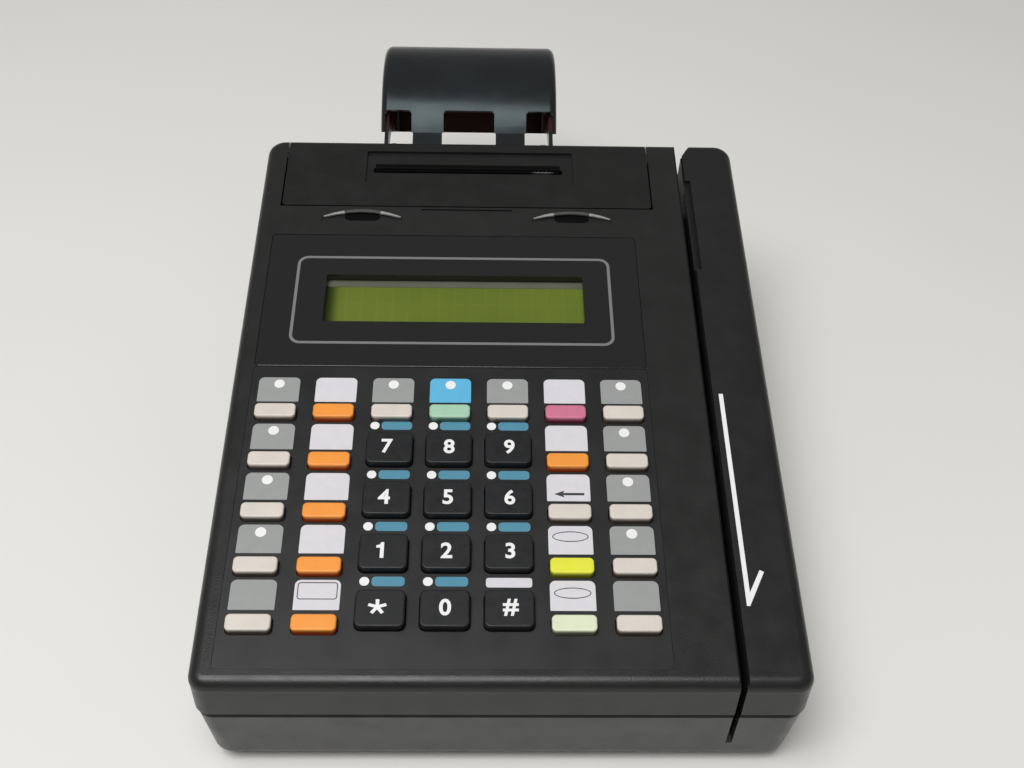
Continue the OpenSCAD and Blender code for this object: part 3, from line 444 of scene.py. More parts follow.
@dataclass(frozen=True)
class PrintedInk(Finish):
    """Screen-printed ink: flat, a little uneven where the mesh of the screen left it thin.

    Args:
        screen_mm: Spacing of the screen's mesh marks.
    """

    screen_mm: float = 0.35

    def dress(self, paint: Paint) -> None:
        """Sets the ink's colour, its thin spots and a fine orange peel."""
        thin = paint.patches(3.0, detail=4.0)
        paint.apply(
            {
                "Base Color": self.varied(paint, thin, 0.985, 1.01),
                "Normal": paint.bump(paint.patches(self.screen_mm), 0.6, 0.008),
                "Roughness": self.roughness,
                "Specular IOR Level": 0.35,
            }
        )


@dataclass(frozen=True)
class WorkedMetal(Finish):
    """Bare metal with the lines of its rolling, turning or plating.

    Args:
        line_mm: Spacing of the working lines.
        along: Axis that the lines run along, as x, y or z.
    """

    line_mm: float = 0.25
    along: str = "x"

    def dress(self, paint: Paint) -> None:
        """Sets the metal's colour, its working lines and handled patches."""
        x, y, z = (LINE_STRETCH if axis == self.along else 1.0 for axis in "xyz")
        lines = paint.patches(self.line_mm, detail=3.0, where=paint.mapped((x, y, z)))
        patch = paint.patches(5.0, detail=3.0)
        paint.apply(
            {
                "Base Color": self.varied(paint, patch, 0.88, 1.06),
                "Roughness": paint.patches(4.0, self.roughness - 0.06, self.roughness + 0.1, 3.0),
                "Normal": paint.bump(lines, 0.6, 0.01),
                "Metallic": 1.0,
            }
        )


@dataclass(frozen=True)
class BlackenedSteel(Finish):
    """Blackened spring steel, its dark also the shade in the paper slot, with one stretch painted
    bright steel as a glint.

    Args:
        glint_steel: Colour of the bright steel in the painted glint.
        glint_mm: Middle of the painted glint across X.
        glint_reach_mm: Half of its length.
    """

    glint_steel: str = "#d3d6d8"
    glint_mm: float = 17.0
    glint_reach_mm: float = 5.2

    def dress(self, paint: Paint) -> None:
        """Sets the black coat, the bright stretch painted as a glint, and the rolling lines."""
        away = paint.math("SUBTRACT", paint.axis("X"), self.glint_mm * MM)
        ends = (self.glint_reach_mm * 0.4 * MM, self.glint_reach_mm * MM)
        # Painted highlight: a bright steel stretch along X that stands in for a glint.
        painted_highlight = ramp(paint.tree, paint.math("ABSOLUTE", away), ends, (1.0, 0.0))
        share = paint.math("MULTIPLY", painted_highlight, paint.patches(0.9, 0.55, 1.0, 3.0))
        lines = paint.patches(0.2, detail=3.0, where=paint.mapped((LINE_STRETCH, 1.0, 1.0)))
        paint.apply(
            {
                "Base Color": paint.shaded(share, self.colour, self.glint_steel),
                "Roughness": paint.patches(4.0, self.roughness, self.roughness + 0.12, 3.0),
                "Normal": paint.bump(lines, 0.6, 0.01),
                "Metallic": 1.0,
            }
        )


@dataclass(frozen=True)
class SolderMask(Finish):
    """Glass-epoxy board under green solder mask, with copper tracks that show as ridges.

    Args:
        track_mm: Spacing of the tracks.
    """

    track_mm: float = 2.4

    def dress(self, paint: Paint) -> None:
        """Sets the mask's colour and the tracks below it."""
        tracks = paint.bricks(
            self.track_mm, (0.09, 0.2), (1.7, 0.5), offset=0.35, squash=2.2, squash_frequency=3
        )
        paint.apply(
            {
                "Base Color": self.varied(paint, tracks, 1.0, 1.45),
                "Normal": paint.bump(tracks, 0.8, 0.05),
                "Roughness": self.roughness,
                "Coat Weight": 0.3,
            }
        )


@dataclass(frozen=True)
class CrystalGlass(Finish):
    """Yellow-green reflective display glass with its grid of character cells.

    Args:
        x0_mm: Left side of the lit field.
        fade_mm: Width of the shadow inside the bezel's left side.
        cell_mm: Spacing of the character cells.
        shade: Colour in that shadow, as hex.
    """

    x0_mm: float = -63.4
    fade_mm: float = 3.6
    cell_mm: float = 5.8
    shade: str = "#3d4718"

    def dress(self, paint: Paint) -> None:
        """Sets the glass's colour, the shadow along its left side and the faint cells."""
        ends = ((self.x0_mm - 1.0) * MM, (self.x0_mm + self.fade_mm) * MM)
        lit = ramp(paint.tree, paint.axis("X"), ends)
        cells = paint.bricks(self.cell_mm, (0.1, 0.6), (1.0, 1.6), offset=0.0)
        glow = paint.shaded(lit, self.shade, self.varied(paint, cells, 0.985, 1.015))
        drift = paint.patches(26.0, 0.94, 1.06, 1.0)
        uneven = add_node(paint.tree, "ShaderNodeHueSaturation", {"Color": glow, "Value": drift})
        paint.apply(
            {
                "Base Color": uneven.outputs[0],
                "Roughness": self.roughness,
                "Specular IOR Level": 0.2,
            }
        )


@dataclass(frozen=True)
class ClearPane(Finish):
    """Clear cast acrylic, polished, with faint wipe marks.

    Args:
        veil: Share of the light that the pane itself sends back.
    """

    veil: float = 0.12

    def dress(self, paint: Paint) -> None:
        """Sets the pane's tint, see-through share and wipe marks."""
        paint.apply(
            {
                "Base Color": linear(self.colour),
                "Roughness": paint.patches(6.0, self.roughness - 0.02, self.roughness + 0.05, 4.0),
                "IOR": ACRYLIC_IOR,
                "Alpha": self.veil,
            }
        )


@dataclass(frozen=True)
class PaleTable(Finish):
    """Pale laminate table top, plain and matt."""

    def dress(self, paint: Paint) -> None:
        """Sets an even pale colour with a very faint mottle."""
        paint.apply(
            {
                "Base Color": self.varied(paint, paint.patches(160.0), 0.995, 1.005),
                "Roughness": self.roughness,
                "Specular IOR Level": 0.3,
            }
        )


class Look(Enum):
    """Finishes of the terminal, by what each surface is made of."""

    # Black ABS with a matt eroded grain: soft broad highlights on every edge
    HOUSING = MouldedPlastic("abs_black_eroded", "#212221", 0.34, 0.55, 0.02, 0.05, specular=0.42)
    RAIL = MouldedPlastic(
        "abs_black_eroded_rail", "#1f2020", 0.34, 0.55, 0.02, 0.05, specular=0.42
    )
    COVER = MouldedPlastic(
        "abs_black_eroded_cover", "#191a19", 0.38, 0.55, 0.02, 0.05, specular=0.45
    )
    # Painted shade: near-black above 28.6 mm, for the seam's shadow under the top housing.
    BASE = MouldedPlastic(
        "abs_black_eroded_base", "#343534", 0.38, 0.6, 0.025, 0.05, specular=0.6, seam_shade_mm=28.6
    )
    # Matt polyester film, printed black: flatter and a shade lighter than the case
    OVERLAY = MouldedPlastic(
        "polyester_film_matt", "#1e201f", 0.38, 0.3, 0.008, 0.04, 30.0, specular=0.45
    )
    # Back-printed acrylic: deep black under a polished face
    LENS = MouldedPlastic(
        "acrylic_back_printed", "#1c1d1d", 0.2, 9.0, 0.01, 0.04, 30.0, 0.03, 0.5, 0.3, 0.05
    )
    PANE = ClearPane("acrylic_clear_polished", "#1c2012", 0.06)
    # Smoked acrylic, with painted light on its inner face
    HOOD = SmokedPlastic("acrylic_smoked_polished", "#232527", 0.22)
    BRACKET = MouldedPlastic("abs_black_bracket", "#27282a", 0.45, 0.5, 0.02, 0.05)
    # Silicone-sprayed ABS keys: satin, light at the rounded edges, with painted shade low on their
    # skirts
    KEY_CREAM = KeyPlastic("key_abs_cream", "#d8d0c6", 0.42)
    KEY_ORANGE = KeyPlastic("key_abs_orange", "#f59a3c", 0.42, skirt="#b5470a")
    KEY_GREEN = KeyPlastic("key_abs_pale_green", "#a6cdb2", 0.42, skirt="#4a6e5c")
    KEY_PINK = KeyPlastic("key_abs_pink", "#cf7593", 0.42, skirt="#7d2f4a")
    KEY_YELLOW = KeyPlastic("key_abs_yellow", "#e6e83c", 0.42, skirt="#8a8a08")
    KEY_PALE = KeyPlastic("key_abs_green_white", "#dfe6c8", 0.42, skirt="#6f7660")
    KEY_BLACK = MouldedPlastic(
        "key_abs_black", "#1c1d1f", 0.42, 0.35, 0.01, 0.05, 8.0, specular=0.33
    )
    # Screen-printed inks on the film and the keys
    INK_GREY = PrintedInk("ink_grey", "#9a9c9b", 0.55)
    INK_LIGHT = PrintedInk("ink_off_white", "#d9d7dc", 0.55)
    INK_WHITE = PrintedInk("ink_white", "#f0f0f0", 0.5)
    INK_SKY = PrintedInk("ink_sky_blue", "#5fb6de", 0.55)
    INK_BLUE = PrintedInk("ink_mid_blue", "#528fa6", 0.55)
    INK_DARK = PrintedInk("ink_dark_grey", "#3a3b3f", 0.55)
    INK_LINE = PrintedInk("ink_silver_line", "#7c7c7c", 0.4)
    # Display: green glass, and the tin-plated bezel as a flat grey strip, grey of its own and
    # painted light for its lit face
    GLASS = CrystalGlass("display_glass_green", "#7f9138", 0.35)
    # Painted light: flat grey standing in for the lit tin-plated bezel.
    BEZEL_LIT_STRIP = MouldedPlastic("bezel_painted_light_grey", "#77796a", 0.5, 0.4, 0.006, 0.03, 8.0)
    BEZEL = MouldedPlastic("bezel_black_paint", "#1e201c", 0.5, 0.4, 0.01)
    # Inside pieces
    SILICONE = MouldedPlastic("silicone_grey", "#8f9294", 0.6, 0.8, 0.01, 0.04)
    BOARD = SolderMask("board_green_mask", "#1f5233", 0.35)
    SOCKET = MouldedPlastic("pbt_black_socket", "#1d1d1f", 0.4, 0.4, 0.01)
    GILT = WorkedMetal("contact_gold_plated", "#d8b45a", 0.25, 0.2, "y")
    CHASSIS = WorkedMetal("steel_zinc_plated", "#8f9296", 0.38, 0.3, "x")
    STEEL = WorkedMetal("steel_ground_rod", "#c9ccd0", 0.22, 0.15, "x")
    # Blackened strip: a dark line in the slot, its dark also the slot's shade, bright only over a
    # painted glint
    TEAR = BlackenedSteel("steel_blackened_strip", "#2c2d2e", 0.34)
    MOTOR = WorkedMetal("steel_motor_can", "#aeb2b6", 0.34, 0.25, "x")
    HEAD = WorkedMetal("mu_metal_head", "#c3c6ca", 0.2, 0.2, "z")
    SCREW = WorkedMetal("steel_zinc_screw", "#b9bbbe", 0.32, 0.2, "z")
    PLATEN = MouldedPlastic("rubber_platen_ground", "#26272a", 0.75, 0.3, 0.02)
    CARRIAGE = MouldedPlastic("nylon_dark_carriage", "#4a4c50", 0.5, 0.4, 0.01)
    RIBBON = MouldedPlastic("ribbon_box_abs", "#3b3d41", 0.45, 0.4, 0.01)
    GEAR = MouldedPlastic("acetal_natural_gear", "#d8cfae", 0.4, 0.4, 0.004, 0.03, 5.0)
    SPINDLE = MouldedPlastic("abs_ivory_spindle", "#e3e0d6", 0.42, 0.4, 0.008, 0.03)
    # Painted highlights along the finger scoops' rims: pale at the ends, darker in the middle
    RIM_HIGHLIGHT = MouldedPlastic("abs_black_rim_painted_highlight", "#989897", 0.35, 0.4, 0.006, 0.08, 1.5)
    RIM = MouldedPlastic("abs_black_rim_painted_sheen", "#4e4e4d", 0.3, 0.4, 0.006, 0.06, 2.0)
    # Painted shade: a black sheet laid where the scoops' pockets and the paper slot fall in shade.
    SHADE_SHEET = MouldedPlastic("black_sheet_painted_shade", "#0b0b0b", 0.95, 0.4, 0.06, 0.1, 3.0, specular=0.1)
    FOOT = MouldedPlastic("rubber_foot_black", "#222222", 0.8, 0.5, 0.03)
    TABLE = PaleTable("laminate_table_pale", "#ecebe8", 0.55)


# Places and shapes


@dataclass(frozen=True)
class DeckPlane:
    """The sloping deck. X runs across, s up the slope from its front edge, n square to it.

    Args:
        front_y: World place of the front edge, in mm.
        front_h: Height of the front edge above the table, in mm.
        tilt_deg: Slope.
    """

    front_y: float = -162.05
    front_h: float = 47.5
    tilt_deg: float = 9.0

    def matrix(self) -> Matrix:
        """Returns the matrix from deck millimetres to world metres."""
        place = Matrix.Translation((0, self.front_y * MM, self.front_h * MM))
        return place @ Matrix.Rotation(self.tilt, 4, "X") @ Matrix.Scale(MM, 4)

    def point(self, x: float, s: float, n: float) -> Vector:
        """Returns the world place of a deck point.

        Args:
            x: Place across, in mm.
            s: Place up the slope, in mm.
            n: Height above the deck, in mm.

        Returns:
            World place in metres.
        """
        return self.matrix() @ Vector((x, s, n))

    @property
    def tilt(self) -> float:
        """Slope in radians."""
        return math.radians(self.tilt_deg)


DECK = DeckPlane()


def rounded_box(
    centre: Point2, width: float, length: float, radii: tuple[float, float], steps: int = 6
) -> Outline:
    """Makes the outline of a box with rounded corners, counter-clockwise.

    Args:
        centre: Middle of the box, in mm.
        width: Size across.
        length: Size up the slope.
        radii: Radius of the two front corners and of the two rear corners.
        steps: Segments of each corner.

    Returns:
        Points of the outline.
    """
    front, rear = radii
    corners = [
        (-width / 2 + front, -length / 2 + front, front, 180),
        (width / 2 - front, -length / 2 + front, front, 270),
        (width / 2 - rear, length / 2 - rear, rear, 0),
        (-width / 2 + rear, length / 2 - rear, rear, 90),
    ]
    outline: Outline = []
    for x, y, radius, start in corners:
        for step in range(steps + 1):
            angle = math.radians(start + 90 * step / steps)
            across, along = radius * math.cos(angle), radius * math.sin(angle)
            outline.append((centre[0] + x + across, centre[1] + y + along))
    return outline


def oval(centre: Point2, width: float, length: float, count: int = 40) -> Outline:
    """Makes the outline of an ellipse.

    Args:
        centre: Middle of the ellipse, in mm.
        width: Size across.
        length: Size up the slope.
        count: Number of points.

    Returns:
        Points of the outline.
    """
    turns = [2 * math.pi * i / count for i in range(count)]
    return [
        (centre[0] + width / 2 * math.cos(a), centre[1] + length / 2 * math.sin(a)) for a in turns
    ]


def placed(name: str, data: bpy.types.ID) -> bpy.types.Object:
    """Puts a new object with the given data into the scene."""
    made = bpy.data.objects.new(name, data)
    bpy.context.scene.collection.objects.link(made)
    return made


def evaluated(name: str, carrier: bpy.types.Object) -> bpy.types.Mesh:
    """Keeps what a carrier comes to as a plain mesh, and removes the carrier."""
    graph = bpy.context.evaluated_depsgraph_get()
    mesh = bpy.data.meshes.new_from_object(carrier.evaluated_get(graph))
    mesh.name = name
    bpy.data.objects.remove(carrier)
    return mesh


def weld(build: bmesh.types.BMesh, mesh: bpy.types.Mesh) -> None:
    """Joins doubled points, turns the faces outwards and writes the mesh."""
    bmesh.ops.remove_doubles(build, verts=build.verts, dist=1e-7)
    bmesh.ops.recalc_face_normals(build, faces=build.faces)
    build.to_mesh(mesh)
    build.free()


def shell(name: str, loops: list[list[Vector]], caps: bool, place: Matrix) -> bpy.types.Object:
    """Skins a row of loops with the same number of points into a closed piece.

    Args:
        name: Name of the piece.
        loops: Loops of points. Without caps the last loop joins the first.
        caps: Whether the first and last loop are closed with faces.
        place: Matrix from the points' frame to the world.

    Returns:
        The object, at the origin, with its normals outwards.
    """
    mesh = bpy.data.meshes.new(name)
    build = bmesh.new()
    rows = [[build.verts.new(place @ p) for p in loop] for loop in loops]
    count = len(rows[0])
    pairs = list(zip(rows, rows[1:])) + ([] if caps else [(rows[-1], rows[0])])
    for low, high in pairs:
        for i in range(count):
            j = (i + 1) % count
            build.faces.new((low[i], low[j], high[j], high[i]))
    if caps:
        build.faces.new(rows[0])
        build.faces.new(rows[-1])
    weld(build, mesh)
    return placed(name, mesh)


def at_height(outline: Outline, n: float) -> list[Vector]:
    """Lifts an outline to a height."""
    return [Vector((x, s, n)) for x, s in outline]


def plate(name: str, outline: Outline, low: float, high: float) -> bpy.types.Object:
    """Makes a thin plate on the deck from its outline and two heights in mm."""
    loops = [at_height(outline, low), at_height(outline, high)]
    return shell(name, loops, True, DECK.matrix())


def ring(
    name: str, outer: Outline, inner: Outline, low: float, high: float
) -> bpy.types.Object:
    """Makes a thin closed line on the deck between two outlines of equal point count."""
    corners = ((outer, low), (outer, high), (inner, high), (inner, low))
    loops = [at_height(outline, n) for outline, n in corners]
    return shell(name, loops, False, DECK.matrix())


def joined(name: str, parts: list[bpy.types.Object]) -> bpy.types.Object:
    """Joins several pieces of one finish and one body into one.

    Args:
        name: Name of the joined piece.
        parts: Pieces to join. They are removed.

    Returns:
        The joined object.
    """
    build = bmesh.new()
    for part in parts:
        build.from_mesh(part.data)
        bpy.data.objects.remove(part)
    mesh = bpy.data.meshes.new(name)
    build.to_mesh(mesh)
    build.free()
    return placed(name, mesh)


def settle(
    piece: bpy.types.Object, look: Look, body: str, smooth_deg: float = 35.0
) -> bpy.types.Object:
    """Gives a finished piece its material and its body, and reports it.

    Args:
        piece: The piece, in place.
        look: Finish of the piece.
        body: CAD body that it moves with.
        smooth_deg: Edges sharper than this stay sharp.

    Returns:
        The piece.
    """
    piece.data.materials.clear()
    piece.data.materials.append(look.value.material())
    piece.data.shade_smooth()
    piece.data.set_sharp_from_angle(angle=math.radians(smooth_deg))
    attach(piece, body)
    LOG.info("%s: %d faces, %s", piece.name, len(piece.data.polygons), look.value.name)
    return piece


def dress(looks: dict[str, Look]) -> None:
    """Puts finishes on CAD nodes.

    Args:
        looks: Finish of each node, by the node's name.
    """
    for node, look in looks.items():
        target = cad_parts[node]
        made = look.value.material()
        if not target.material_slots:
            target.data.materials.append(made)
        for slot in target.material_slots:
            slot.material = made
        LOG.info("%s: %s", node, look.value.name)


class SocketKind(Enum):
    """Kinds of inputs that the Geometry Nodes trees have."""

    GEOMETRY = "NodeSocketGeometry"
    LENGTH = "NodeSocketFloat"
    COUNT = "NodeSocketInt"
    MATERIAL = "NodeSocketMaterial"


class PatternTree(ABC):
    """A Geometry Nodes tree with named inputs, which ends in plain geometry."""

    name: str = "pattern"
    inputs: dict[str, SocketKind] = {}

    def __init__(self) -> None:
        """Builds the tree and its sockets."""
        self.tree = bpy.data.node_groups.new(self.name, "GeometryNodeTree")
        self.identifiers: dict[str, str] = {}
        face = self.tree.interface
        for label, kind in {"Geometry": SocketKind.GEOMETRY, **self.inputs}.items():
            socket = face.new_socket(name=label, in_out="INPUT", socket_type=kind.value)
            self.identifiers[label] = socket.identifier
        face.new_socket(name="Geometry", in_out="OUTPUT", socket_type="NodeSocketGeometry")
        given = add_node(self.tree, "NodeGroupInput").outputs
        real = self.add("GeometryNodeRealizeInstances", {"Geometry": self.copies(given)})
        kept = {"Geometry": real, "Material": given["Material"]}
        named = self.add("GeometryNodeSetMaterial", kept)
        add_node(self.tree, "NodeGroupOutput", {"Geometry": named})

    @abstractmethod
    def copies(self, given: bpy.types.NodeOutputs) -> Socket:
        """Returns the socket with the instances.

        Args:
            given: Outputs of the group input.

        Returns:
            Geometry socket.
        """

    def add(self, kind: str, inputs: Inputs | None = None, **settings: object) -> Socket:
        """Adds a node to the tree and returns its first output."""
        return add_node(self.tree, kind, inputs, **settings).outputs[0]

    def vector(self, **axes: Socket) -> Socket:
        """Returns a vector with the given axes, and 0 along the others."""
        return self.add("ShaderNodeCombineXYZ", axes)

    def instances(self, points: Socket, piece: Socket, **turn: Socket) -> Socket:
        """Returns the piece on each point, turned if a rotation is given."""
        inputs = {"Points": points, "Instance": piece, **turn}
        return self.add("GeometryNodeInstanceOnPoints", inputs)

    def lay(
        self, name: str, places: list[Vector], look: Look, values: dict[str, float | int]
    ) -> bpy.types.Object:
        """Runs the tree on a list of places and keeps the result as a plain mesh.

        Args:
            name: Name of the piece.
            places: World places, in metres.
            look: Finish of the piece.
            values: Values of the named inputs.

        Returns:
            The finished object, without its modifier.
        """
        seeds = bpy.data.meshes.new(name + "_places")
        seeds.from_pydata(places, [], [])
        carrier = placed(name + "_carrier", seeds)
        modifier = carrier.modifiers.new(self.name, "NODES")
        modifier.node_group = self.tree
        modifier[self.identifiers["Material"]] = look.value.material()
        for label, value in values.items():
            modifier[self.identifiers[label]] = value
        mesh = evaluated(name, carrier)
        build = bmesh.new()
        build.from_mesh(mesh)
        weld(build, mesh)
        return placed(name, mesh)


class PlateTree(PatternTree):
    """Lays a thin plate with rounded corners at each place, tilted with the deck."""

    name = "printed_plates"
    inputs = {
        "Width": SocketKind.LENGTH,
        "Length": SocketKind.LENGTH,
        "Front Radius": SocketKind.LENGTH,
        "Rear Radius": SocketKind.LENGTH,
        "Thickness": SocketKind.LENGTH,
        "Tilt": SocketKind.LENGTH,
        "Material": SocketKind.MATERIAL,
    }

    def copies(self, given: bpy.types.NodeOutputs) -> Socket:
        """Returns the plates on their places."""
        sides = {"Width": given["Width"], "Height": given["Length"]}
        quad = self.add("GeometryNodeCurvePrimitiveQuadrilateral", sides)
        where = self.add("GeometryNodeInputPosition")
        axes = add_node(self.tree, "ShaderNodeSeparateXYZ", {"Vector": where})
        test = {"data_type": "FLOAT", "operation": "GREATER_THAN"}
        rear = self.add("FunctionNodeCompare", {0: axes.outputs["Y"], 1: 0.0}, **test)
        choice = {0: rear, 1: given["Front Radius"], 2: given["Rear Radius"]}
        radius = self.add("GeometryNodeSwitch", choice, input_type="FLOAT")
        corners = {"Curve": quad, "Count": 7, "Radius": radius}
        curve = self.add("GeometryNodeFilletCurve", corners, mode="POLY")
        face = self.add("GeometryNodeFillCurve", {0: curve}, mode="NGONS")
        rise = self.vector(Z=given["Thickness"])
        lift = {"Mesh": face, "Offset": rise, "Offset Scale": 1.0, "Individual": False}
        raised = self.add("GeometryNodeExtrudeMesh", lift, mode="FACES")
        both = add_node(self.tree, "GeometryNodeJoinGeometry")
        for half in (raised, face):
            self.tree.links.new(half, both.inputs[0])
        turn = self.vector(X=given["Tilt"])
        return self.instances(given["Geometry"], both.outputs[0], Rotation=turn)


class ContactTree(PatternTree):
    """Lays a row of round spring wires at each place, side by side across X."""

    name = "spring_contacts"
    inputs = {
        "Count": SocketKind.COUNT,
        "Pitch": SocketKind.LENGTH,
        "Wire Radius": SocketKind.LENGTH,
        "Reach": SocketKind.LENGTH,
        "Drop": SocketKind.LENGTH,
        "Material": SocketKind.MATERIAL,
    }

    def math(self, operation: str, first: Socket, second: float | Socket) -> Socket:
        """Returns the result of an operation on two values."""
        return self.add("ShaderNodeMath", {0: first, 1: second}, operation=operation)

    def copies(self, given: bpy.types.NodeOutputs) -> Socket:
        """Returns the rows of wires on their places."""
        last = self.math("SUBTRACT", given["Count"], 1.0)
        span = self.math("MULTIPLY", last, given["Pitch"])
        start = self.vector(X=self.math("MULTIPLY", span, -0.5))
        step = self.vector(X=given["Pitch"])
        spots = {"Count": given["Count"], "Start Location": start, "Offset": step}
        row = self.add("GeometryNodeMeshLine", spots, mode="OFFSET")
        tip = self.vector(Y=given["Reach"], Z=given["Drop"])
        ends = {"Start": (0.0, 0.0, 0.0), "End": tip}
        line = self.add("GeometryNodeCurvePrimitiveLine", ends)
        size = {"Resolution": 8, "Radius": given["Wire Radius"]}
        section = self.add("GeometryNodeCurvePrimitiveCircle", size)
        sweep = {0: line, 1: section, "Fill Caps": True}
        wire = self.add("GeometryNodeCurveToMesh", sweep)
        return self.instances(given["Geometry"], self.instances(row, wire))


# Sub-assemblies


@dataclass
class Housing:
    """The case: two housings, card rail, feet and screws."""

    def build(self) -> None:
        """Dresses the case."""
        dress(
            {
                "base_housing": Look.BASE,
                "top_housing": Look.HOUSING,
                "card_rail": Look.RAIL,
                "rubber_feet": Look.FOOT,
                "case_screws": Look.SCREW,
            }
        )


@dataclass
class Keypad:
    """The printed film and its 35 keys."""

    columns: list[float] = field(default_factory=lambda: [-78.0 + 20 * i for i in range(7)])
    first_row: float = 20.2
    pitch: float = 20.0
    number_shift: float = 4.9
    number_height: float = 2.7
    film_top: float = -0.1
    ink: float = 0.05
    label_width: float = 14.4
    label_length: float = 10.5
    label_front: float = 25.55
    label_radius: float = 1.9
    dot_size: float = 3.6
    dot_lift: float = 7.7
    strip_lift: float = 15.4
    strip_length: float = 3.4
    strip_dot: float = 3.1
    strip_dot_shift: float = -5.6
    bar_width: float = 10.4
    bar_shift: float = 1.9
    white_bar_width: float = 14.6
    digit_height: float = 5.7
    digit_shift: tuple[float, ...] = (-0.8, 0.1, 0.4)
    star_arm: float = 1.0
    star_reach: float = 2.6
    numbers: tuple[str, ...] = ("*0#", "123", "456", "789")

    def build(self) -> None:
        """Dresses the keys and prints the film."""
        film_and_below = {
            "keypad_overlay": Look.OVERLAY,
            "keypad_mat": Look.SILICONE,
            "keypad_board": Look.BOARD,
        }
        dress(film_and_below)
        self.dress_keys()
        self.print_labels()
        self.print_strips()
        self.print_signs()
        self.print_digits()

    def dress_keys(self) -> None:
        """Gives each key its colour."""
        special = {
            "row1_col4": Look.KEY_GREEN,
            "row1_col6": Look.KEY_PINK,
            "row2_col6": Look.KEY_ORANGE,
            "row4_col6": Look.KEY_YELLOW,
            "row5_col6": Look.KEY_PALE,
        }
        for node in sorted(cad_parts):
            if node.startswith("number_key"):
                dress({node: Look.KEY_BLACK})
            elif node.startswith("function_key"):
                place = node.removeprefix("function_key_")
                plain = Look.KEY_ORANGE if place.endswith("col2") else Look.KEY_CREAM
                dress({node: special.get(place, plain)})

    def on_film(self, x: float, s: float) -> Vector:
        """Returns the world place of a point on the film."""
        return DECK.point(x, s, self.film_top)

    def lay_plates(
        self,
        tree: PlateTree,
        name: str,
        look: Look,
        places: list[Vector],
        size: Point2,
        radii: Point2,
    ) -> None:
        """Prints one plate of ink at each place.

        Args:
            tree: The plates' Geometry Nodes tree.
            name: Name of the piece.
            look: Ink.
            places: World places of the plates' middles.
            size: Width and length in mm.
            radii: Radius of the front and of the rear corners, in mm.
        """
        labels = ("Width", "Length", "Front Radius", "Rear Radius", "Thickness")
        values = {label: mm * MM for label, mm in zip(labels, (*size, *radii, self.ink))}
        values["Tilt"] = DECK.tilt
        settle(tree.lay(name, places, look, values), look, CASE)

    def print_labels(self) -> None:
        """Prints the label above each bar key, with its white dot."""
        tree = PlateTree()
        grey: list[Vector] = []
        light: list[Vector] = []
        dots: list[Vector] = []
        sky: list[Vector] = []
        for row in range(5):
            middle = self.label_front + self.label_length / 2 + self.pitch * row
            dot = self.label_front + self.dot_lift + self.pitch * row
            for column, x in enumerate(self.columns):
                if row < 4 and column in (2, 3, 4):
                    continue
                if column in (1, 5):
                    light.append(self.on_film(x, middle))
                    continue
                (sky if column == 3 else grey).append(self.on_film(x, middle))
                if row > 0:
                    dots.append(DECK.point(x, dot, self.film_top + self.ink))
        size, radii = (self.label_width, self.label_length), (0.3, self.label_radius)
        self.lay_plates(tree, "labels_grey", Look.INK_GREY, grey, size, radii)
        self.lay_plates(tree, "labels_light", Look.INK_LIGHT, light, size, radii)
        self.lay_plates(tree, "labels_sky_blue", Look.INK_SKY, sky, size, radii)
        size, radii = (self.dot_size,) * 2, (self.dot_size / 2 - 0.01,) * 2
        self.lay_plates(tree, "labels_dots", Look.INK_WHITE, dots, size, radii)

    def print_strips(self) -> None:
        """Prints the white dot and the blue bar above each number key."""
        tree = PlateTree()
        dots: list[Vector] = []
        bars: list[Vector] = []
        for row in range(4):
            s = self.first_row + self.strip_lift + self.pitch * row
            for column in (2, 3, 4):
                if row == 0 and column == 4:
                    continue
                x = self.columns[column]
                dots.append(self.on_film(x + self.strip_dot_shift, s))
                bars.append(self.on_film(x + self.bar_shift, s))
        front = [self.on_film(self.columns[4], self.first_row + self.strip_lift - 0.3)]
        size, radii = (self.strip_dot,) * 2, (1.5, 1.5)
        self.lay_plates(tree, "strip_dots", Look.INK_WHITE, dots, size, radii)
        size, radii = (self.bar_width, self.strip_length), (self.strip_length / 2 - 0.45,) * 2
        self.lay_plates(tree, "strip_bars_blue", Look.INK_BLUE, bars, size, radii)
        size, radii = (self.white_bar_width, self.strip_length), (0.9, 0.9)
        self.lay_plates(tree, "strip_bar_white", Look.INK_LIGHT, front, size, radii)

    def print_signs(self) -> None:
        """Prints the arrow, the two ovals and the box on the light labels."""
        low = self.film_top + self.ink
        high = low + self.ink
        x = self.columns[5]
        arrow = [
            (17.2, 68.3),
            (20.6, 67.0),
            (20.2, 67.85),
            (27.2, 67.85),
            (27.2, 68.75),
            (20.2, 68.75),
            (20.6, 69.6),
        ]
        parts = [plate("sign_arrow", arrow, low, high)]
        for s in (31.7, 52.1):
            outer, inner = oval((x, s), 11.8, 3.9), oval((x, s), 11.2, 3.3)
            parts.append(ring("sign_oval", outer, inner, low, high))
        box_at = (self.columns[1], 32.2)
        outer = rounded_box(box_at, 12.6, 6.0, (1.0, 1.0))
        inner = rounded_box(box_at, 12.0, 5.4, (0.7, 0.7))
        parts.append(ring("sign_box", outer, inner, low, high))
        settle(joined("labels_signs", parts), Look.INK_DARK, CASE)

    def print_digits(self) -> None:
        """Prints the digits, star and hash on the number keys."""
        names = {"*": "star", "#": "hash"}
        shapes = {"1": self.one_shape(), "*": self.star_shape()}
        for row, text in enumerate(self.numbers):
            for column, sign in enumerate(text):
                key = "number_key_" + names.get(sign, sign)
                x = self.columns[column + 2] + self.digit_shift[column]
                place = (x, self.first_row + self.number_shift + self.pitch * row + 0.2)
                if sign in shapes:
                    piece = self.stamp(key + "_print", shapes[sign], place)
                else:
                    piece = self.figure(key + "_print", sign, place)
                settle(piece, Look.INK_WHITE, key)

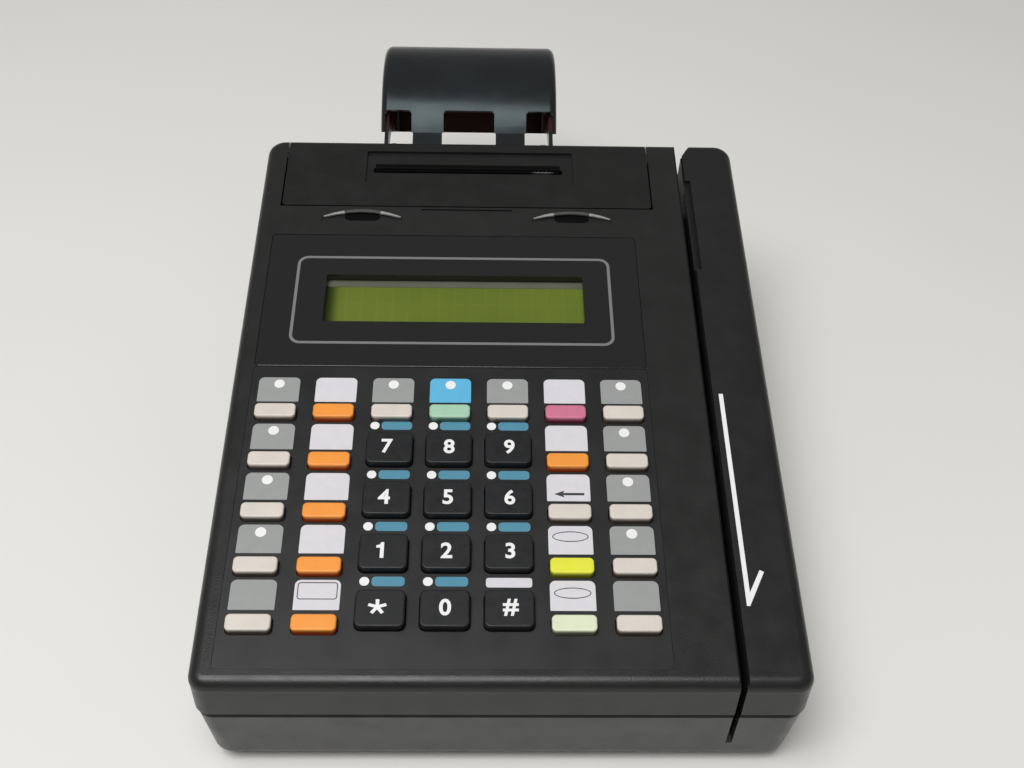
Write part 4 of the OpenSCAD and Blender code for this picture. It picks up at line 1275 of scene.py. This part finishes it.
    def stamp(self, name: str, shape: Outline, place: Point2) -> bpy.types.Object:
        """Makes a thin plate on a key from a shape around its middle, in mm."""
        outline = [(place[0] + x, place[1] + s) for x, s in shape]
        return plate(name, outline, self.number_height, self.number_height + self.ink)

    def one_shape(self) -> Outline:
        """Returns the bold figure 1 with its flag, around its middle."""
        half = self.digit_height / 2
        return [
            (-0.2, -half),
            (1.0, -half),
            (1.0, half),
            (0.05, half),
            (-0.12, half - 0.5),
            (-0.55, half - 0.95),
            (-1.45, half - 1.15),
            (-1.45, half - 2.0),
            (-0.2, half - 2.0),
        ]

    def star_shape(self) -> Outline:
        """Returns the star with its five arms, a little wider than tall."""
        arms, spread = 5, 1.12
        half = self.star_arm / 2
        step = 2 * math.pi / arms
        notch = half / math.sin(step / 2)
        outline: Outline = []
        for arm in range(arms):
            turn = math.pi / 2 + arm * step
            along = Vector((math.cos(turn), math.sin(turn)))
            across = Vector((-along.y, along.x))
            gap = turn - step / 2
            outline.append((notch * math.cos(gap), notch * math.sin(gap)))
            for side in (-half, half):
                tip = along * self.star_reach + across * side
                outline.append((tip.x, tip.y))
        return [(x * spread, s) for x, s in outline]

    def figure(self, name: str, sign: str, place: Point2) -> bpy.types.Object:
        """Makes one sign as a thin plate on its key.

        Args:
            name: Name of the piece.
            sign: The sign.
            place: Place of its middle on the deck, in mm.

        Returns:
            The piece.
        """
        curve = bpy.data.curves.new(name, "FONT")
        curve.body = sign
        curve.size = 1.0
        curve.offset = 0.026
        curve.extrude = 0.01
        curve.resolution_u = 6
        mesh = evaluated(name, placed(name + "_text", curve))
        low = Vector([min(v.co[i] for v in mesh.vertices) for i in range(3)])
        high = Vector([max(v.co[i] for v in mesh.vertices) for i in range(3)])
        tall = 1.02 if sign == "#" else 1.0
        scale = self.digit_height * tall / (high.y - low.y)
        flat = Matrix.Diagonal((scale, scale, self.ink / (high.z - low.z), 1))
        lift = Matrix.Translation((*place, self.number_height + self.ink / 2))
        centred = Matrix.Translation((low + high) / -2)
        mesh.transform(DECK.matrix() @ lift @ flat @ centred)
        return placed(name, mesh)


@dataclass
class Display:
    """The lens with its window and white line, over the green glass."""

    panel: Box = (-87.8, 121.5, 51.8, 185.5)
    window: Box = (-65.5, 142.2, 30.6, 165.0)
    line: Box = (-76.9, 131.6, 41.2, 174.3)
    line_width: float = 1.1
    top: float = -0.1
    thickness: float = 1.5
    edge: float = 0.12
    glass: Box = (-65.6, 140.9, 32.0, 162.3)
    glass_top: float = -4.3
    strip_end: float = 165.5

    def build(self) -> None:
        """Builds the lens and the glass."""
        dress({"display_module": Look.BEZEL})
        self.build_lens()
        self.build_glass()

    @staticmethod
    def outline(box: Box, inset: float, radius: float) -> Outline:
        """Returns a rounded outline of a box drawn in by inset."""
        x0, s0, x1, s1 = box
        centre = ((x0 + x1) / 2, (s0 + s1) / 2)
        width, length = x1 - x0 - 2 * inset, s1 - s0 - 2 * inset
        return rounded_box(centre, width, length, (radius, radius))

    def build_lens(self) -> None:
        """Builds the black lens around its window, the clear pane and the printed line."""
        low, top, edge = self.top - self.thickness, self.top, self.edge
        steps = (
            (self.panel, 0, 1.5, low),
            (self.panel, 0, 1.5, top - edge),
            (self.panel, edge * 0.3, 1.4, top - edge * 0.3),
            (self.panel, edge, 1.2, top),
            (self.window, 0, 0.6, top),
            (self.window, 0, 0.6, low),
        )
        loops = [at_height(self.outline(*drawn), n) for *drawn, n in steps]
        lens = shell("display_lens_black", loops, False, DECK.matrix())
        settle(lens, Look.LENS, CASE, 15.0)
        opening = self.outline(self.window, 0.0, 0.6)
        pane = plate("display_lens_window", opening, low + 0.1, top - 0.05)
        settle(pane, Look.PANE, CASE)
        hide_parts("display_lens")
        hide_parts("display_lens")
        outer = self.outline(self.line, 0, 4.0)
        inner = self.outline(self.line, self.line_width, 3.0)
        line = ring("display_line", outer, inner, top, top + 0.04)
        settle(line, Look.INK_LINE, CASE)

    def build_glass(self) -> None:
        """Builds the green glass and the grey strip of bezel behind it, its grey partly painted
        light for the lit bezel.
        """
        low = self.glass_top
        glass = plate("display_glass", self.outline(self.glass, 0, 0.2), low, low + 0.2)
        settle(glass, Look.GLASS, CASE)
        x0, _, x1, s1 = self.glass
        behind = self.outline((x0, s1 + 0.05, x1, self.strip_end), 0, 0.1)
        # Painted light: a flat grey plate stands in for the lit face of the tin-plated bezel.
        strip = plate("display_bezel_painted_light", behind, low, low + 0.3)
        settle(strip, Look.BEZEL_LIT_STRIP, CASE)


@dataclass
class CardSlot:
    """The card reader's head and the swipe arrow printed on the rail."""

    rail_top: float = 0.0
    ink: float = 0.05
    line_x: float = 77.2
    start: float = 110.2
    tip: float = 28.8
    barb: Point2 = (82.7, 39.8)
    width: float = 1.5

    def build(self) -> None:
        """Dresses the head and prints the arrow."""
        dress({"read_head": Look.HEAD})
        half = self.width / 2
        lean = math.atan2(self.barb[0] - self.line_x, self.barb[1] - self.tip)
        across = (half * math.cos(lean), -half * math.sin(lean))
        meet = self.tip + self.width / math.sin(lean) * 0.98
        outline = [
            (self.line_x - half, self.start),
            (self.line_x - half, self.tip - 1.4),
            (self.line_x + half * 0.4, self.tip - 1.4),
            (self.barb[0] + across[0], self.barb[1] + across[1]),
            (self.barb[0] - across[0], self.barb[1] - across[1]),
            (self.line_x + half, meet),
            (self.line_x + half, self.start),
        ]
        arrow = plate("swipe_arrow", outline, self.rail_top, self.rail_top + self.ink)
        settle(arrow, Look.INK_WHITE, CASE)


@dataclass
class Printer:
    """The printer under its hinged cover, with the finger scoops and the tear edge."""

    scoop_x: Point2 = (-54.2, 27.8)
    scoop_top: float = 199.3
    scoop_radius: float = 32.0
    scoop_half: float = 15.2
    pocket_half: float = 7.2
    pocket: Point2 = (13.2, 4.3)
    pocket_floor: float = -2.3
    pocket_s: float = 196.0
    rim_width: Point2 = (0.15, 1.3)
    rim_n: Point2 = (-0.55, 0.02)
    slot_x: Point2 = (-50.6, 24.0)
    edge_s: Point2 = (221.75, 222.2)
    edge_n: Point2 = (-2.9, -0.45)
    tooth: float = 1.5
    slot_shade_s: Point2 = (224.2, 225.4)
    slot_shade_n: float = -0.4

    def build(self) -> None:
        """Dresses the printer's pieces and adds the painted rim highlights, the black sheets of
        painted shade and the tear edge.
        """
        dress(
            {
                "printer_cover": Look.COVER,
                "tear_bar": Look.TEAR,
                "printer_chassis": Look.CHASSIS,
                "platen_roller": Look.PLATEN,
                "print_head": Look.CARRIAGE,
                "ribbon_cartridge": Look.RIBBON,
                "printer_motor": Look.MOTOR,
                "motor_pinion": Look.GEAR,
            }
        )
        self.rims()
        self.pockets()
        self.tear_edge()
        self.slot_shade_sheet()

    def rim(self, name: str, x: float, start: float, end: float, taper: int) -> bpy.types.Object:
        """Makes one stretch of the painted highlight along a scoop's arched rim.

        Args:
            name: Name of the piece.
            x: Middle of the scoop across the deck.
            start: Start of the stretch from the middle, in mm.
            end: End of the stretch.
            taper: 1 where the end is pointed, -1 where the start is, 0 for neither.

        Returns:
            The piece.
        """
        steps = 14
        outer: Outline = []
        inner: Outline = []
        centre = self.scoop_top - self.scoop_radius
        least, most = self.rim_width
        for step in range(steps + 1):
            part = step / steps
            share = {1: 1 - part, -1: part, 0: 1.0}[taper]
            width = least + (most - least) * math.sqrt(share)
            turn = math.asin((start + (end - start) * part) / self.scoop_radius)
            for row, radius in ((outer, self.scoop_radius), (inner, self.scoop_radius - width)):
                row.append((x + radius * math.sin(turn), centre + radius * math.cos(turn)))
        return plate(name, outer + inner[::-1], *self.rim_n)

    def rims(self) -> None:
        """Adds the painted highlights along the rims of both scoops."""
        half, pocket = self.scoop_half, self.pocket_half
        painted_highlight: list[bpy.types.Object] = []
        middle: list[bpy.types.Object] = []
        for x in self.scoop_x:
            painted_highlight.append(self.rim("scoop_rim_highlight_left", x, -half, -pocket, -1))
            painted_highlight.append(self.rim("scoop_rim_highlight_right", x, pocket, half, 1))
            middle.append(self.rim("scoop_rim_sheen_middle", x, -pocket, pocket, 0))
        # Painted highlight: pale ends and a darker middle, where the scoops' rims catch the light.
        settle(joined("scoop_rim_ends_painted_highlight", painted_highlight), Look.RIM_HIGHLIGHT, CASE)
        settle(joined("scoop_rim_centres_painted_sheen", middle), Look.RIM, CASE)

    def pockets(self) -> None:
        """Lines the scoops' pockets with a black sheet of painted shade."""
        wide, long = self.pocket
        parts = []
        for x in self.scoop_x:
            outline = rounded_box((x, self.pocket_s), wide, long, (1.9, 1.9))
            parts.append(plate("pocket", outline, self.pocket_floor, self.pocket_floor + 0.9))
        # Painted shade: the black sheet darkens each pocket as its shade would.
        settle(joined("scoop_pocket_painted_shade", parts), Look.SHADE_SHEET, CASE)

    def tear_edge(self) -> None:
        """Stands the tear bar's upturned toothed edge in the paper slot."""
        x0, x1 = self.slot_x
        low, high = self.edge_n
        count = int((x1 - x0) / self.tooth)
        pitch = (x1 - x0) / count
        profile: Outline = [(x0, low), (x1, low)]
        for i in range(count):
            profile.append((x1 - pitch * i, high - 0.45))
            profile.append((x1 - pitch * (i + 0.5), high))
        profile.append((x0, high - 0.45))
        loops = [[Vector((x, s, n)) for x, n in profile] for s in self.edge_s]
        edge = shell("tear_bar_edge", loops, True, DECK.matrix())
        settle(edge, Look.TEAR, "cover", 20.0)

    def slot_shade_sheet(self) -> None:
        """Lays a black sheet of painted shade along the rear of the paper slot."""
        x0, x1 = self.slot_x
        s0, s1 = self.slot_shade_s
        outline = rounded_box(((x0 + x1) / 2, (s0 + s1) / 2), x1 - x0, s1 - s0, (0.3, 0.3))
        # Painted shade: a black strip for the shade at the rear of the slot.
        strip = plate("paper_slot_painted_shade", outline, self.slot_shade_n - 0.1, self.slot_shade_n + 0.12)
        settle(strip, Look.SHADE_SHEET, "cover")


@dataclass
class RollHood:
    """The hood over the paper roll, with its bracket, rod and spindle."""

    def build(self) -> None:
        """Dresses the hood's pieces."""
        dress(
            {
                "paper_hood": Look.HOOD,
                "hood_hinge_rod": Look.STEEL,
                "roll_bracket": Look.BRACKET,
                "roll_spindle": Look.SPINDLE,
            }
        )


@dataclass
class Electronics:
    """The main board and the sockets in the rear wall, with their gilt contacts."""

    jacks: tuple[float, ...] = (-74.0, -52.0)
    jack_back: float = 62.5
    jack_roof: float = 18.8
    wires: int = 6
    pitch: float = 1.02

    def build(self) -> None:
        """Dresses the boards and sockets, and adds the jacks' contact wires."""
        dress({"main_board": Look.BOARD, "rear_sockets": Look.SOCKET})
        places = [Vector((x, self.jack_back, self.jack_roof)) * MM for x in self.jacks]
        values = {
            "Count": self.wires,
            "Pitch": self.pitch * MM,
            "Wire Radius": 0.22 * MM,
            "Reach": 8.2 * MM,
            "Drop": -4.6 * MM,
        }
        contacts = ContactTree().lay("phone_jack_contacts", places, Look.GILT, values)
        settle(contacts, Look.GILT, CASE)


@dataclass
class Studio:
    """Pale table, soft lights and the camera at the photograph's angle."""

    camera_at: Point3 = (-7.573, -371.328, 374.675)
    camera_turn: Point3 = (46.1295, -1.3151, -0.7287)
    lens: float = 44.473
    table_size: float = 24.0
    wall_front: float = 0.05
    wall_rear: float = 0.34
    ceiling: float = 0.2
    box_at: Point3 = (-0.3, -0.47, 1.44)
    box_aim: Point3 = (0.0, 0.0, 0.04)
    box_size: float = 0.95
    box_watts: float = 20.5

    def build(self) -> None:
        """Sets up the whole studio."""
        self.table()
        self.camera()
        self.world()
        self.lamp()
        bpy.context.scene.view_settings.view_transform = "Standard"

    def table(self) -> None:
        """Lays the pale table top."""
        half = self.table_size / 2
        corners = [(-half, -half, 0), (half, -half, 0), (half, half, 0), (-half, half, 0)]
        mesh = bpy.data.meshes.new("table_top")
        mesh.from_pydata(corners, [], [(0, 1, 2, 3)])
        mesh.materials.append(Look.TABLE.value.material())
        placed("table_top", mesh)

    def camera(self) -> None:
        """Places the camera."""
        data = bpy.data.cameras.new("camera")
        data.sensor_width = 36.0
        data.lens = self.lens
        data.clip_start = 0.01
        eye = placed("camera", data)
        eye.location = Vector(self.camera_at) * MM
        eye.rotation_euler = Euler([math.radians(a) for a in self.camera_turn], "XYZ")
        bpy.context.scene.camera = eye

    def world(self) -> None:
        """Sets a dim soft room with a pale low wall, darker on the side of the camera."""
        world = bpy.data.worlds.new("room")
        bpy.context.scene.world = world
        world.use_nodes = True
        tree = world.node_tree
        tree.nodes.clear()
        way = add_node(tree, "ShaderNodeTexCoord").outputs["Generated"]
        axes = add_node(tree, "ShaderNodeSeparateXYZ", {"Vector": way}).outputs
        wall = ramp(tree, axes["Y"], (-0.8, 0.5), (self.wall_front, self.wall_rear))
        rise = ramp(tree, axes["Z"], (0.02, 0.4), (wall, self.ceiling))
        glow = {"Color": linear("#fdfbf7"), "Strength": rise}
        sky = add_node(tree, "ShaderNodeBackground", glow).outputs[0]
        add_node(tree, "ShaderNodeOutputWorld", {"Surface": sky})

    def lamp(self) -> None:
        """Hangs one wide soft box over the terminal, a little in front of it."""
        data = bpy.data.lights.new("soft_box", "AREA")
        data.shape = "SQUARE"
        data.size = self.box_size
        data.energy = self.box_watts
        box = placed("soft_box", data)
        box.location = self.box_at
        aim = Vector(self.box_aim) - Vector(self.box_at)
        box.rotation_euler = aim.to_track_quat("-Z", "Y").to_euler()


def main() -> None:
    """Builds each sub-assembly in order."""
    logging.basicConfig(level=logging.INFO, format="%(message)s")
    for assembly in (
        Studio(),
        Housing(),
        Keypad(),
        Display(),
        CardSlot(),
        Printer(),
        RollHood(),
        Electronics(),
    ):
        LOG.info("building %s", type(assembly).__name__)
        assembly.build()


if __name__ == "__main__":
    main()
